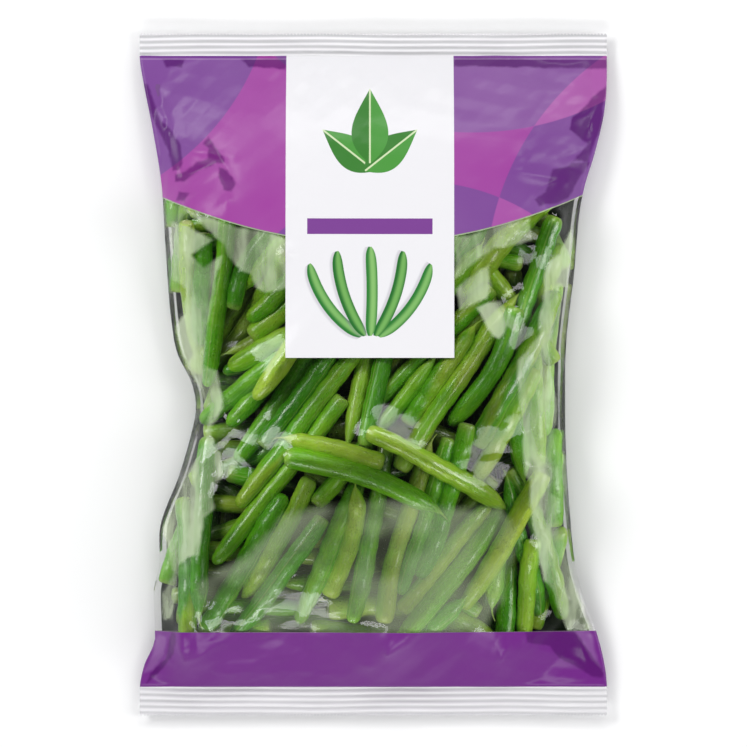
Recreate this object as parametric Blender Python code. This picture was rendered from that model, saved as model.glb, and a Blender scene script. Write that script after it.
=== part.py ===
"""A sealed pillow bag of fresh green beans, lying on its back.

Metres, +Z up. X runs across the bag, Y from its bottom seal to its top seal, and the front
faces up. The origin is at the middle of the bag, on the surface that it lies on.
"""

import math
from dataclasses import dataclass, replace
from itertools import product

import bmesh
import bpy
import numpy as np
from mathutils import Vector

MM = 0.001

# The bag, laid flat
BAG_WIDTH = 210 * MM
BAG_LENGTH = 307 * MM
TOP_SEAL = 10 * MM
BOTTOM_SEAL = 13 * MM
FILM = 0.6 * MM
TOP_RIBS = 4
BOTTOM_RIBS = 5
RIB_HEIGHT = 0.35 * MM
VENT_Y = 118 * MM
VENT_SIZE = 4 * MM
RIM = 0.8 * MM
RIM_WIDTH = 1.2 * MM
SLIT = 0.3 * MM

# The bag, filled
SEAL_Z = 5 * MM
SIDE_FOLD_Z = 12 * MM
DOME = 27 * MM
HEADROOM = 0.8 * MM
EASING_PASSES = 3
FLAT_SHARE = 0.74

# How far each side fold is drawn in from the flat bag's edge: (y, draw) in mm, upwards
LEFT_DRAW = (
    (-142, 0), (-131, 2), (-118, 7), (-98, 6.5), (-85, 9), (-68, 9.5), (-45, 18), (-24, 24),
    (-15, 25.5), (-5, 24), (10, 17), (24, 14.5), (62, 11.5), (85, 10), (110, 6), (130, 2), (144, 0),
)
RIGHT_DRAW = (
    (-142, 0), (-131, 1), (-115, 5), (-100, 10.5), (-87, 14), (-60, 17), (-15, 19), (14, 18.5),
    (45, 15), (76, 12), (87, 9.5), (98, 6), (120, 1), (144, 0),
)

# Clearances between solids
GAP = 0.35 * MM
BACK_CLEARANCE = 1.7 * MM
SIDE_CLEARANCE = 1.2 * MM
NEAR = 12 * MM
SIDE_SLOPE = 0.22

# Detail of the solids
STATIONS = np.array([0, 0.05, 0.28, 0.54, 0.8, 0.9, 0.97, 1])
BEAN_SIDES_RESOLUTION = 2
BACK_SIDES_RESOLUTION = 1
FILM_COLUMNS = 18
FILM_ROW_PITCH = 10 * MM
CELL_SAMPLES = 5
CELL_REACH = 2 * MM

# How a bean may settle from where it is laid, and how far it may bend up or down
ALONG = np.linspace(0, 1, 32)
SHIFTS_ASIDE = (-6 * MM, -3 * MM, 0, 3 * MM, 6 * MM)
SHIFTS_ALONG = (-4 * MM, 0, 4 * MM)
TURNS = (-math.radians(4), 0, math.radians(4))
ARCHES = np.arange(-8, 11, 2) * MM
PEAK_WEIGHT = 0.6
ARCH_WEIGHT = 0.1
SHIFT_WEIGHT = 0.1
TURN_WEIGHT = 1.8 * MM
CROWDING_WEIGHT = 20

# Beans as they are laid in the bag, lowest first, each (cut end x, y, tip x, y, bow, width)
# in mm. A bow bends the bean to the left of the way from cut end to tip.
LOW_BEANS = (
    (-76, -11, 22, -10, -4, 8.6),
    (-76, -20, 20, -19, 1, 8.2),
    (-72, -28, 24, -28, -1, 8.6),
    (-60, -36, 22, -37, 1, 8.2),
    (80, -29, 30, -40, 3, 9.0),
    (-80, -86, 16, -86, -3, 8.2),
    (-90, -96, 10, -97, 1, 8.0),
    (-92, -105, 5, -105, -1, 8.4),
    (-93, -118, -8, -117, 2, 8.4),
    (-78, -36, -16, -80, 2, 8.4),
    (-66, -34, 10, -62, 2, 8.8),
    (-80, -72, -14, -48, 2, 8.6),
    (-34, -76, 31, -58, -3, 9.2),
    (-66, 98, 22, 90, 3, 8.6),
    (88, 96, 4, 106, 3, 8.4),
    (6, -128, 84, -118, -3, 8.2),
    (-88, -52, -82, -124, 2, 8.2),
    (22, 68, 84, 46, 3, 8.2),
)
MIDDLE_BEANS = (
    (-24, -104, 53, -122, 9, 10.2),
    (-17, -27, 55, -47, 8, 10.4),
    (54, 42, 63, -38, 2, 8.2),
    (78, 38, 68, -36, -2, 7.8),
    (76, 22, 77, -62, 2, 8.2),
    (68, -36, 88, -112, 4, 9.0),
    (69, -58, 61, -124, 2, 8.4),
    (80, -70, 72, -122, -1, 7.8),
    (50, -48, 58, -104, 3, 7.8),
    (-89, 76, -23, 47, -2, 8.0),
    (-27, 84, -88, 55, 3, 8.4),
    (-86, 42, -22, 62, -2, 8.0),
    (-81, 72, -79, 6, -2, 7.8),
    (-46, 58, -80, -2, 2, 8.6),
    (-8, 54, -74, 15, 6, 8.0),
    (-10, 31, -75, 7, -2, 9.2),
    (-62, 72, -79, -14, 1, 8.0),
    (58, 82, 8, 20, 3, 8.0),
    (84, 66, 68, -8, -2, 8.4),
    (88, 80, 38, 22, -3, 9.6),
    (36, 88, -36, 70, -3, 8.8),
    (62, 4, -6, 12, 4, 8.4),
)
TOP_BEANS = (
    (56, -48, 12, -104, 1, 9.0),
    (0, -30, -16, -112, 1, 8.2),
    (-4, 56, -15, -36, 1, 8.4),
    (-26, -42, -57, -97, 2, 8.4),
    (58, -54, 2, -116, 2, 9.0),
    (-2, -44, -36, -111, 0, 8.2),
    (-29, 22, -67, -41, 1, 9.0),
    (-20, -60, -67, -114, 1, 8.6),
    (60, 36, 14, -21, 3, 8.6),
    (38, -27, 82, 44, -1, 9.0),
    (4, -42, 62, 32, 1, 9.0),
    (-4, 48, -57, -21, 2, 8.2),
    (-5, 50, -35, -34, 0, 8.2),
    (56, 34, 27, -23, 6, 8.4),
    (80, -42, 38, -103, 1, 9.0),
    (-4, -28, 58, -63, 2, 8.6),
    (-40, -39, 31, -59, 4, 9.0),
    (-74, -32, -84, -112, -1, 8.2),
)

# The lowest beans, at the back of the bag under those: two zigzag rows. Their ends touch,
# so they are one solid.
BACK_WIDTH = 9.2 * MM
BACK_LENGTH = 108 * MM
BACK_COLUMNS = 9
BACK_PITCH = 13.5 * MM
BACK_MIDDLES = (-65 * MM, 27 * MM)
BACK_END_CROSS = 3 * MM
BACK_BOW = 1 * MM
BACK_SEED = 12


@dataclass
class Bean:
    """One pod: its centre line in plan, its height at both ends, and its bend between them."""

    cut: np.ndarray
    tip: np.ndarray
    bow: float
    width: float
    cut_z: float = 0.0
    tip_z: float = 0.0
    arch: float = 0.0

    def centres(self, along):
        """Points of the centre line at shares of the way from the cut end to the tip."""
        run = self.tip - self.cut
        side = np.array([-run[1], run[0]]) / np.hypot(*run)
        bend = 4 * along * (1 - along)
        plan = self.cut + np.outer(along, run) + np.outer(self.bow * bend, side)
        height = self.cut_z + (self.tip_z - self.cut_z) * along + self.arch * bend
        return np.column_stack([plan, height])

    def radii(self, along):
        """A blunt cut end, an even body and a long taper to the tip."""
        shoulder = 1 - 0.16 * np.clip(1 - along / 0.05, 0, 1) ** 2
        taper = 1 - 0.88 * np.clip((along - 0.8) / 0.2, 0, 1) ** 1.7
        return self.width / 2 * shoulder * taper

    def skeleton(self):
        """The centre line and the radii where the solid has its rings of points."""
        return self.centres(STATIONS), self.radii(STATIONS)

    def moved(self, aside, further, turn):
        """The same bean moved sideways and lengthways, and turned about its middle."""
        run = self.tip - self.cut
        ahead = run / np.hypot(*run)
        left = np.array([-ahead[1], ahead[0]])
        middle = (self.cut + self.tip) / 2 + further * ahead + aside * left
        half = np.hypot(*run) / 2 * (math.cos(turn) * ahead + math.sin(turn) * left)
        return replace(self, cut=middle - half, tip=middle + half)


def laid(row):
    """A bean from one row of a table in mm."""
    cut_x, cut_y, tip_x, tip_y, bow, width = row
    cut, tip = np.array([cut_x, cut_y]) * MM, np.array([tip_x, tip_y]) * MM
    return Bean(cut, tip, bow * MM, width * MM)


def smooth_line(y, points):
    """Values at y on a smooth line through points in mm, with no overshoot between them."""
    knots, values = (np.array(column, float) * MM for column in zip(*points))
    steps = np.diff(values) / np.diff(knots)
    inner = np.where(steps[1:] * steps[:-1] > 0, (steps[1:] + steps[:-1]) / 2, 0)
    slopes = np.concatenate([[0], inner, [0]])
    piece = np.clip(np.searchsorted(knots, y) - 1, 0, len(steps) - 1)
    span = knots[piece + 1] - knots[piece]
    t = np.clip((y - knots[piece]) / span, 0, 1)
    rise = values[piece] * (1 - t) ** 2 * (1 + 2 * t) + values[piece + 1] * t**2 * (3 - 2 * t)
    return rise + span * t * (1 - t) * (slopes[piece] * (1 - t) - slopes[piece + 1] * t)


BODY_LOW = -BAG_LENGTH / 2 + BOTTOM_SEAL
BODY_HIGH = BAG_LENGTH / 2 - TOP_SEAL
BODY_MIDDLE = (BODY_LOW + BODY_HIGH) / 2
BODY_HALF = (BODY_HIGH - BODY_LOW) / 2


def folds(y):
    """x of the left and the right side fold."""
    return smooth_line(y, LEFT_DRAW) - BAG_WIDTH / 2, BAG_WIDTH / 2 - smooth_line(y, RIGHT_DRAW)


def along_body(y):
    """-1 at the bottom seal, 0 at mid length and 1 at the top seal."""
    return np.clip((y - BODY_MIDDLE) / BODY_HALF, -1, 1)


def fold_height(y):
    """Height of the side folds, where front and back meet."""
    return SEAL_Z + (SIDE_FOLD_Z - SEAL_Z) * (1 - np.abs(along_body(y)) ** 3)


def back_height(x, y):
    """Height of the back of the bag's outside: flat in the middle, curling up to its edges."""
    left, right = folds(y)
    across = np.abs(2 * x - left - right) / (right - left)
    out = (np.minimum(across, 1) ** 6 + np.abs(along_body(y)) ** 6) ** (1 / 6)
    curl = np.clip((out - FLAT_SHARE) / (1 - FLAT_SHARE), 0, 1)
    return fold_height(y) * curl**2.2


def floor_under(line, thick):
    """Lowest height of a bean's centre line over the back film, for each of its points."""
    heights = []
    for share in (-0.9, 0, 0.9):
        lift = thick * math.sqrt(1 - share**2)
        for way in ((1, 0), (0, 1)):
            x, y = line[:, 0] + share * thick * way[0], line[:, 1] + share * thick * way[1]
            heights.append(back_height(x, y) + BACK_CLEARANCE + lift)
    return np.max(heights, axis=0)


def heights_over(line, thick, under, under_thick):
    """Lowest height of a centre line, for each of its points, over a bean already laid."""
    start, run = under[:-1, :2], np.diff(under[:, :2], axis=0)
    reach = line[:, None, :2] - start
    share = np.clip((reach * run).sum(2) / (run**2).sum(1), 0, 1)
    apart = np.linalg.norm(reach - share[..., None] * run, axis=2)
    rise = np.diff(under[:, 2])
    contact = thick[:, None] + under_thick[:-1] + share * np.diff(under_thick) + GAP
    tilt = np.hypot(1, rise / np.linalg.norm(run, axis=1))
    lift = np.sqrt(np.maximum(contact**2 - apart**2, 0)) * tilt
    return np.where(apart < contact, under[:-1, 2] + share * rise + lift, 0).max(axis=1)


def close_in_plan(line, other):
    """Whether two centre lines come near each other, seen from above."""
    low, high = line[:, :2].min(axis=0) - NEAR, line[:, :2].max(axis=0) + NEAR
    return (other[:, :2].min(axis=0) < high).all() and (other[:, :2].max(axis=0) > low).all()


def rest_on(bean, least):
    """The bean at rest on these least heights, and a cost that grows with its height and bend."""
    low, high = np.nonzero(ALONG <= 0.5)[0], np.nonzero(ALONG > 0.5)[0]
    bend = np.interp(ALONG, STATIONS, 4 * STATIONS * (1 - STATIONS))
    best_cost, best_bean = math.inf, None
    for arch in ARCHES:
        need = least - arch * bend
        slopes = (need[high] - need[low][:, None]) / (ALONG[high] - ALONG[low][:, None])
        middles = need[low][:, None] + slopes * (0.5 - ALONG[low][:, None])
        held = np.unravel_index(np.argmax(middles), middles.shape)
        heights = middles[held] + slopes[held] * (ALONG - 0.5) + arch * bend
        cost = heights.mean() + PEAK_WEIGHT * heights.max() + ARCH_WEIGHT * abs(arch)
        if cost < best_cost:
            best_cost = cost
            ends = middles[held] - slopes[held] / 2, middles[held] + slopes[held] / 2
            best_bean = replace(bean, cut_z=ends[0], tip_z=ends[1], arch=arch)
    return best_cost, best_bean


def crowding(line, thick):
    """How far a bean comes into the room that the side folds need, more where it lies high."""
    left, right = folds(line[:, 1])
    above = np.maximum(line[:, 2] + thick - fold_height(line[:, 1]), 0)
    room = thick + SIDE_CLEARANCE + SIDE_SLOPE * above
    return max((room + left - line[:, 0]).max(), (room - right + line[:, 0]).max(), 0)


def drop(bean, skeletons):
    """Lowers a bean onto those already laid, and lets it settle where it lies lowest."""
    best_cost, best_bean = math.inf, None
    for aside, further, turn in product(SHIFTS_ASIDE, SHIFTS_ALONG, TURNS):
        tried = bean.moved(aside, further, turn)
        rings, ring_radii = tried.skeleton()
        line = np.column_stack([np.interp(ALONG, STATIONS, axis) for axis in rings.T])
        thick = np.interp(ALONG, STATIONS, ring_radii)
        least = floor_under(line, thick)
        for under, under_thick in skeletons:
            if close_in_plan(line, under):
                least = np.maximum(least, heights_over(line, thick, under, under_thick))
        cost, rested = rest_on(tried, least)
        cost += SHIFT_WEIGHT * (abs(aside) + abs(further) / 2) + TURN_WEIGHT * abs(turn)
        cost += CROWDING_WEIGHT * crowding(*rested.skeleton())
        if cost < best_cost:
            best_cost, best_bean = cost, rested
    return best_bean


def back_beans():
    """The lowest beans: two zigzag rows, at one height."""
    draw = np.random.default_rng(BACK_SEED)
    height = BACK_CLEARANCE + BACK_WIDTH / 2
    lean = math.asin(BACK_PITCH / (BACK_LENGTH - 2 * BACK_END_CROSS))
    beans = []
    for row, middle_y in enumerate(BACK_MIDDLES):
        for column in range(BACK_COLUMNS):
            middle = np.array([(column - (BACK_COLUMNS - 1) / 2) * BACK_PITCH, middle_y])
            heading = math.pi / 2 + lean * (-1) ** (row + column)
            half = BACK_LENGTH / 2 * np.array([math.cos(heading), math.sin(heading)])
            half *= draw.choice((-1, 1))
            bow = draw.uniform(-BACK_BOW, BACK_BOW)
            beans.append(Bean(middle - half, middle + half, bow, BACK_WIDTH, height, height))
    return beans


def material(name, colour, roughness, alpha=1.0):
    made = bpy.data.materials.new(name)
    made.use_nodes = True
    shader = made.node_tree.nodes["Principled BSDF"]
    shader.inputs["Base Color"].default_value = (*colour, 1)
    shader.inputs["Roughness"].default_value = roughness
    shader.inputs["Alpha"].default_value = alpha
    made.diffuse_color = (*colour, alpha)
    return made


def bean_object(name, bean, skin, resolution=BEAN_SIDES_RESOLUTION):
    """A pod as a bevelled line whose radius follows the pod."""
    curve = bpy.data.curves.new(name, "CURVE")
    curve.dimensions = "3D"
    curve.bevel_depth = bean.width / 2
    curve.bevel_resolution = resolution
    curve.use_fill_caps = True
    spline = curve.splines.new("POLY")
    spline.points.add(len(STATIONS) - 1)
    for point, centre, radius in zip(spline.points, *bean.skeleton()):
        point.co = (*centre, 1)
        point.radius = radius / curve.bevel_depth
    curve.materials.append(skin)
    made = bpy.data.objects.new(name, curve)
    bpy.context.collection.objects.link(made)
    return made


def welded_mesh(curve_object):
    """A curve's tube as one closed mesh, with its caps joined to its sides."""
    graph = bpy.context.evaluated_depsgraph_get()
    mesh = bpy.data.meshes.new_from_object(curve_object.evaluated_get(graph))
    shell = bmesh.new()
    shell.from_mesh(mesh)
    bmesh.ops.remove_doubles(shell, verts=shell.verts, dist=0.01 * MM)
    bmesh.ops.recalc_face_normals(shell, faces=shell.faces)
    shell.to_mesh(mesh)
    shell.free()
    return mesh


def joined_beans(name, beans, skin):
    """Beans that touch, as one solid."""
    others = bpy.data.collections.new(name + "_others")
    bpy.context.scene.collection.children.link(others)
    pods = []
    for index, bean in enumerate(beans):
        tube = bean_object(f"{name}_tube_{index}", bean, skin, BACK_SIDES_RESOLUTION)
        pods.append(bpy.data.objects.new(f"{name}_pod_{index}", welded_mesh(tube)))
        bpy.data.objects.remove(tube)
    whole = pods[0]
    whole.name = name
    bpy.context.scene.collection.objects.link(whole)
    for pod in pods[1:]:
        others.objects.link(pod)
    union = whole.modifiers.new("join", "BOOLEAN")
    union.operation = "UNION"
    union.operand_type = "COLLECTION"
    union.collection = others
    with bpy.context.temp_override(object=whole, active_object=whole):
        bpy.ops.object.modifier_apply(modifier=union.name)
    for pod in pods[1:]:
        bpy.data.objects.remove(pod)
    bpy.data.collections.remove(others)


def top_of_beans(x, y, beans, reach):
    """Highest bean surface within reach of each point (x, y), or 0 where there is none."""
    highest = np.zeros_like(x)
    for bean in beans:
        for centre, radius in zip(bean.centres(ALONG), bean.radii(ALONG)):
            beyond = np.maximum(np.hypot(x - centre[0], y - centre[1]) - reach, 0)
            top = centre[2] + np.sqrt(np.maximum(radius**2 - beyond**2, 0))
            highest = np.where(beyond < radius, np.maximum(highest, top), highest)
    return highest


def cover_height(x, y, beans):
    """Least height of the film at its points so that every face between them clears the beans."""
    share = np.linspace(0, 1, CELL_SAMPLES)
    down, right = share[:, None], share[None, :]

    def between(grid):
        low = grid[:-1, :-1, None, None] * (1 - right) + grid[:-1, 1:, None, None] * right
        high = grid[1:, :-1, None, None] * (1 - right) + grid[1:, 1:, None, None] * right
        return low * (1 - down) + high * down

    tops = top_of_beans(between(x), between(y), beans, CELL_REACH).max(axis=(2, 3))
    framed = np.pad(tops, 1)
    return np.maximum.reduce([framed[:-1, :-1], framed[1:, :-1], framed[:-1, 1:], framed[1:, 1:]])


def film_plan(rows):
    """x and y of the film's points, from the left fold to the right one, and how far out."""
    even = np.linspace(-1, 1, FILM_COLUMNS + 1)
    spread = (even + np.sin(even * math.pi / 2)) / 2
    left, right = folds(rows)
    x = (left + right)[:, None] / 2 + (right - left)[:, None] / 2 * spread
    return x, np.repeat(rows[:, None], len(even), axis=1), np.abs(spread)


def front_height(x, y, across, beans):
    """Height of the front's outside: a dome with air in it that clears every bean."""
    ends = np.abs(along_body(y))
    dome = DOME * (1 - ends**2.6) ** 0.8 * (1 - across**2.6) ** 0.5
    inside = (across < 1) & (ends < 1)
    needed = np.where(inside, cover_height(x, y, beans) + HEADROOM + FILM, 0)
    height = np.maximum(fold_height(y) + RIM + dome, needed)
    for _ in range(EASING_PASSES):
        around = height[:-2, 1:-1] + height[2:, 1:-1] + height[1:-1, :-2] + height[1:-1, 2:]
        eased = height.copy()
        eased[1:-1, 1:-1] = around / 4
        height = np.where(inside, np.maximum(eased, needed), height)
    return height


def surface_normals(points):
    """Upward normals of a grid of points."""
    normal = np.cross(np.gradient(points, axis=1), np.gradient(points, axis=0))
    return normal / np.linalg.norm(normal, axis=2, keepdims=True)


def sheet(bag, points):
    """A grid of faces through these points. Returns the edges of its rim, and its faces."""
    rows, columns = points.shape[:2]
    made = bmesh.ops.create_grid(bag, x_segments=columns - 1, y_segments=rows - 1, size=1)["verts"]
    for vertex, place in zip(made, points.reshape(-1, 3)):
        vertex.co = place
    faces = list({face for vertex in made for face in vertex.link_faces})
    rim = [edge for face in faces for edge in face.edges if len(edge.link_faces) == 1]
    return rim, faces


def vent_rim(bag, faces):
    """Cuts a small hole in the face nearest the vent's place. Returns the hole's edges."""
    place = Vector((0, VENT_Y, 0))
    nearest = min(faces, key=lambda face: (face.calc_center_median() - place).length)
    middle = nearest.calc_center_median()
    bmesh.ops.inset_individual(bag, faces=[nearest], thickness=1 * MM)
    half = VENT_SIZE / 2
    for vertex in nearest.verts:
        out = vertex.co - middle
        vertex.co = middle + Vector((math.copysign(half, out.x), math.copysign(half, out.y), 0))
    edges = list(nearest.edges)
    bmesh.ops.delete(bag, geom=[nearest], context="FACES_ONLY")
    return edges


def film_object(name, beans, skin):
    """The bag: one tube of film, flattened and crimped shut at both ends."""
    bottom = np.linspace(-BAG_LENGTH / 2, BODY_LOW, 2 * BOTTOM_RIBS + 1)
    top = np.linspace(BODY_HIGH, BAG_LENGTH / 2, 2 * TOP_RIBS + 1)
    body = np.linspace(BODY_LOW, BODY_HIGH, round((BODY_HIGH - BODY_LOW) / FILM_ROW_PITCH) + 1)
    rows = np.concatenate([bottom[:-1], body, top[1:]])
    in_body = slice(len(bottom) - 1, len(rows) - len(top) + 1)
    closed = np.ones(len(rows), bool)
    closed[in_body] = False
    closed[[in_body.start, in_body.stop - 1]] = True
    ripple = np.where(closed, RIB_HEIGHT * (-1.0) ** np.arange(len(rows)), 0)[:, None]

    x, y, across = film_plan(rows)
    pressed = closed[:, None] | (across == 1)
    front = np.dstack([x, y, front_height(x, y, across, beans) + ripple])
    back = np.dstack([x, y, np.where(pressed, fold_height(y) - RIM + ripple, back_height(x, y))])
    inner_front = (front - FILM * surface_normals(front))[in_body]
    inner_back = (back + FILM * surface_normals(back))[in_body]
    for inner, half in ((inner_front, SLIT / 2), (inner_back, -SLIT / 2)):
        inner[..., :2] = front[in_body][..., :2]
        inner[:, 0, 0] += RIM_WIDTH
        inner[:, -1, 0] -= RIM_WIDTH
        inner[0, :, 1] += RIM_WIDTH
        inner[-1, :, 1] -= RIM_WIDTH
        slit = fold_height(y[in_body]) + half
        on_rim = np.ones(inner.shape[:2], bool)
        on_rim[1:-1, 1:-1] = False
        inner[..., 2] = np.where(on_rim, slit, inner[..., 2])

    bag = bmesh.new()
    front_rim, _ = sheet(bag, front)
    back_rim, back_faces = sheet(bag, back)
    inner_front_rim, _ = sheet(bag, inner_front)
    inner_back_rim, inner_back_faces = sheet(bag, inner_back)
    outer_vent, inner_vent = vent_rim(bag, back_faces), vent_rim(bag, inner_back_faces)
    bmesh.ops.bridge_loops(bag, edges=front_rim + back_rim)
    bmesh.ops.bridge_loops(bag, edges=inner_front_rim + inner_back_rim)
    bmesh.ops.bridge_loops(bag, edges=outer_vent + inner_vent)
    bmesh.ops.triangulate(bag, faces=bag.faces)
    bmesh.ops.recalc_face_normals(bag, faces=bag.faces)
    mesh = bpy.data.meshes.new(name)
    bag.to_mesh(mesh)
    bag.free()
    mesh.materials.append(skin)
    made = bpy.data.objects.new(name, mesh)
    bpy.context.scene.collection.objects.link(made)
    return made


def main():
    for old in list(bpy.data.objects):
        bpy.data.objects.remove(old)
    pod_skin = material("pod_green", (0.13, 0.32, 0.05), 0.35)
    film_skin = material("clear_film", (0.85, 0.87, 0.86), 0.12, 0.35)

    beans = back_beans()
    joined_beans("back_beans", beans, pod_skin)
    skeletons = [bean.skeleton() for bean in beans]
    for index, row in enumerate(LOW_BEANS + MIDDLE_BEANS + TOP_BEANS, 1):
        bean = drop(laid(row), skeletons)
        beans.append(bean)
        skeletons.append(bean.skeleton())
        bean_object(f"bean_{index:02d}", bean, pod_skin)
    film_object("bag_film", beans, film_skin)


main()
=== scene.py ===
"""A sealed pillow bag of fresh green beans, lying on its back on the floor.

Loose pods lie in a clear film with a printed head and foot. Metres, +Z up. X runs across the
bag, Y from its bottom seal to its top seal, and the front faces up.
"""

import math

import bmesh
import bpy
import numpy as np
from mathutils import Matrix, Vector


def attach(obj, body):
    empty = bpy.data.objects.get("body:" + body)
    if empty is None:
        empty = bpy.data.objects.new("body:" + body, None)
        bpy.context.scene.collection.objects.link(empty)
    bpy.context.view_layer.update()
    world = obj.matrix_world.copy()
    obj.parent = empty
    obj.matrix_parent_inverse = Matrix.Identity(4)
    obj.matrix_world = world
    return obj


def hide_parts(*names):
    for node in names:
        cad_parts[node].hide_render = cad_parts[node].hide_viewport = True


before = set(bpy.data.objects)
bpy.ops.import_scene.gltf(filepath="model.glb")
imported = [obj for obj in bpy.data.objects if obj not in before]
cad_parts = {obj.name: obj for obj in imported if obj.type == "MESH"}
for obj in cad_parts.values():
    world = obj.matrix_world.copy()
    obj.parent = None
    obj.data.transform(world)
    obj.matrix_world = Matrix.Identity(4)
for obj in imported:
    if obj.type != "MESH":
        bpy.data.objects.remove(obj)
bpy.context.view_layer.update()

MM = 0.001

# The bag as it is packed
BAG_WIDTH = 210 * MM
BAG_LENGTH = 307 * MM
TOP_SEAL = 10 * MM
BOTTOM_SEAL = 13 * MM
SEAL_Z = 5 * MM
SIDE_FOLD_Z = 12 * MM
FLAT_SHARE = 0.74
BODY_LOW = -BAG_LENGTH / 2 + BOTTOM_SEAL
BODY_HIGH = BAG_LENGTH / 2 - TOP_SEAL
BODY_MIDDLE = (BODY_LOW + BODY_HIGH) / 2
BODY_HALF = (BODY_HIGH - BODY_LOW) / 2

# How far each side fold is drawn in from the flat bag's edge: (y, draw) in mm, upwards
LEFT_DRAW = (
    (-142, 0), (-131, 2), (-118, 7), (-98, 6.5), (-85, 9), (-68, 9.5), (-45, 18), (-24, 24),
    (-15, 25.5), (-5, 24), (10, 17), (24, 14.5), (62, 11.5), (85, 10), (110, 6), (130, 2), (144, 0),
)
RIGHT_DRAW = (
    (-142, 0), (-131, 1), (-115, 5), (-100, 10.5), (-87, 14), (-60, 17), (-15, 19), (14, 18.5),
    (45, 15), (76, 12), (87, 9.5), (98, 6), (120, 1), (144, 0),
)

# The lowest pods, in two zigzag rows
BACK_CLEARANCE = 1.7 * MM
BACK_WIDTH = 9.2 * MM
BACK_LENGTH = 108 * MM
BACK_COLUMNS = 9
BACK_PITCH = 13.5 * MM
BACK_MIDDLES = (-65 * MM, 27 * MM)
BACK_END_CROSS = 3 * MM
BACK_BOW = 1 * MM
BACK_SEED = 12

# Where a packed pod has its rings of points, as shares of its length
RING_SHARES = np.array([0, 0.05, 0.28, 0.54, 0.8, 0.9, 0.97, 1])

# The pods' surfaces
POD_SIDES = 16
SEED_PITCH = 9.5 * MM
PLUMPNESS = 1.07
POD_SHARP = math.radians(50)
PACKED_SEED = 100
LOWEST_SEED = 77
LOOSE_SEED = 300

# How often a tip keeps its tail, and the room that it needs to the sides and the seals
TAIL_CHANCE = 0.45
TAIL_ROOM = 14 * MM
TAIL_REACH = 0.8

# How far the pods keep off the side folds and the back
SIDE_KEEP = 1.2 * MM
BACK_KEEP = 1.6 * MM

# The film: its back has one point for each 4 of the front's, both ways
FILM_COLUMNS = 272
FILM_ROWS = 312
BACK_COARSENESS = 4
FIELD_PITCH = 1 * MM
FIELD_PASSES = 1400
FILM_GAP = 0.45 * MM
RIM_LIFT = 0.08 * MM
FRONT_CRUMPLE_SEED = 5
BACK_CRUMPLE_SEED = 9
FILM_SHARP = math.radians(70)
SEAL_SHARP = math.radians(40)

# The print: the arc under the head, the foot, the panel, and the clear sides of the back
PRINT_MIDDLE = -1.5 * MM
ARC_LOW = 58.7 * MM
ARC_BEND = 2.41
FOOT_TOP = -115 * MM
PANEL_HALF = 37.5 * MM
PANEL_LOW = 7.4 * MM
BACK_PANEL = (-19 * MM, 52 * MM)
BACK_PANEL_HALF = (17.1 * MM, 39.9 * MM)
BACK_MARGIN = 3 * MM

# The seals and the seam of the back
TOP_RIBS = 4
TOP_RIB_RISE = 0.31 * MM
BOTTOM_RIBS = 5
BOTTOM_RIB_RISE = 0.2 * MM
SEAL_OVERLAP = 0.3 * MM
TOOTH_PITCH = 1.5 * MM
TOOTH_DEPTH = 0.9 * MM
FIN_MIDDLE = 5 * MM
FIN_HALF = 6 * MM


class Wire:
    """A socket of a finish, for use in arithmetic."""

    def __init__(self, finish, socket):
        self.finish, self.socket = finish, socket

    def __add__(self, other):
        return self.finish.maths("ADD", self, other)

    def __sub__(self, other):
        return self.finish.maths("SUBTRACT", self, other)

    def __rsub__(self, other):
        return self.finish.maths("SUBTRACT", other, self)

    def __mul__(self, other):
        return self.finish.maths("MULTIPLY", self, other)

    def __truediv__(self, other):
        return self.finish.maths("DIVIDE", self, other)

    def __abs__(self):
        return self.finish.maths("ABSOLUTE", self)

    def __pow__(self, other):
        return self.finish.maths("POWER", self, other)

    __radd__ = __add__
    __rmul__ = __mul__


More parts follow.
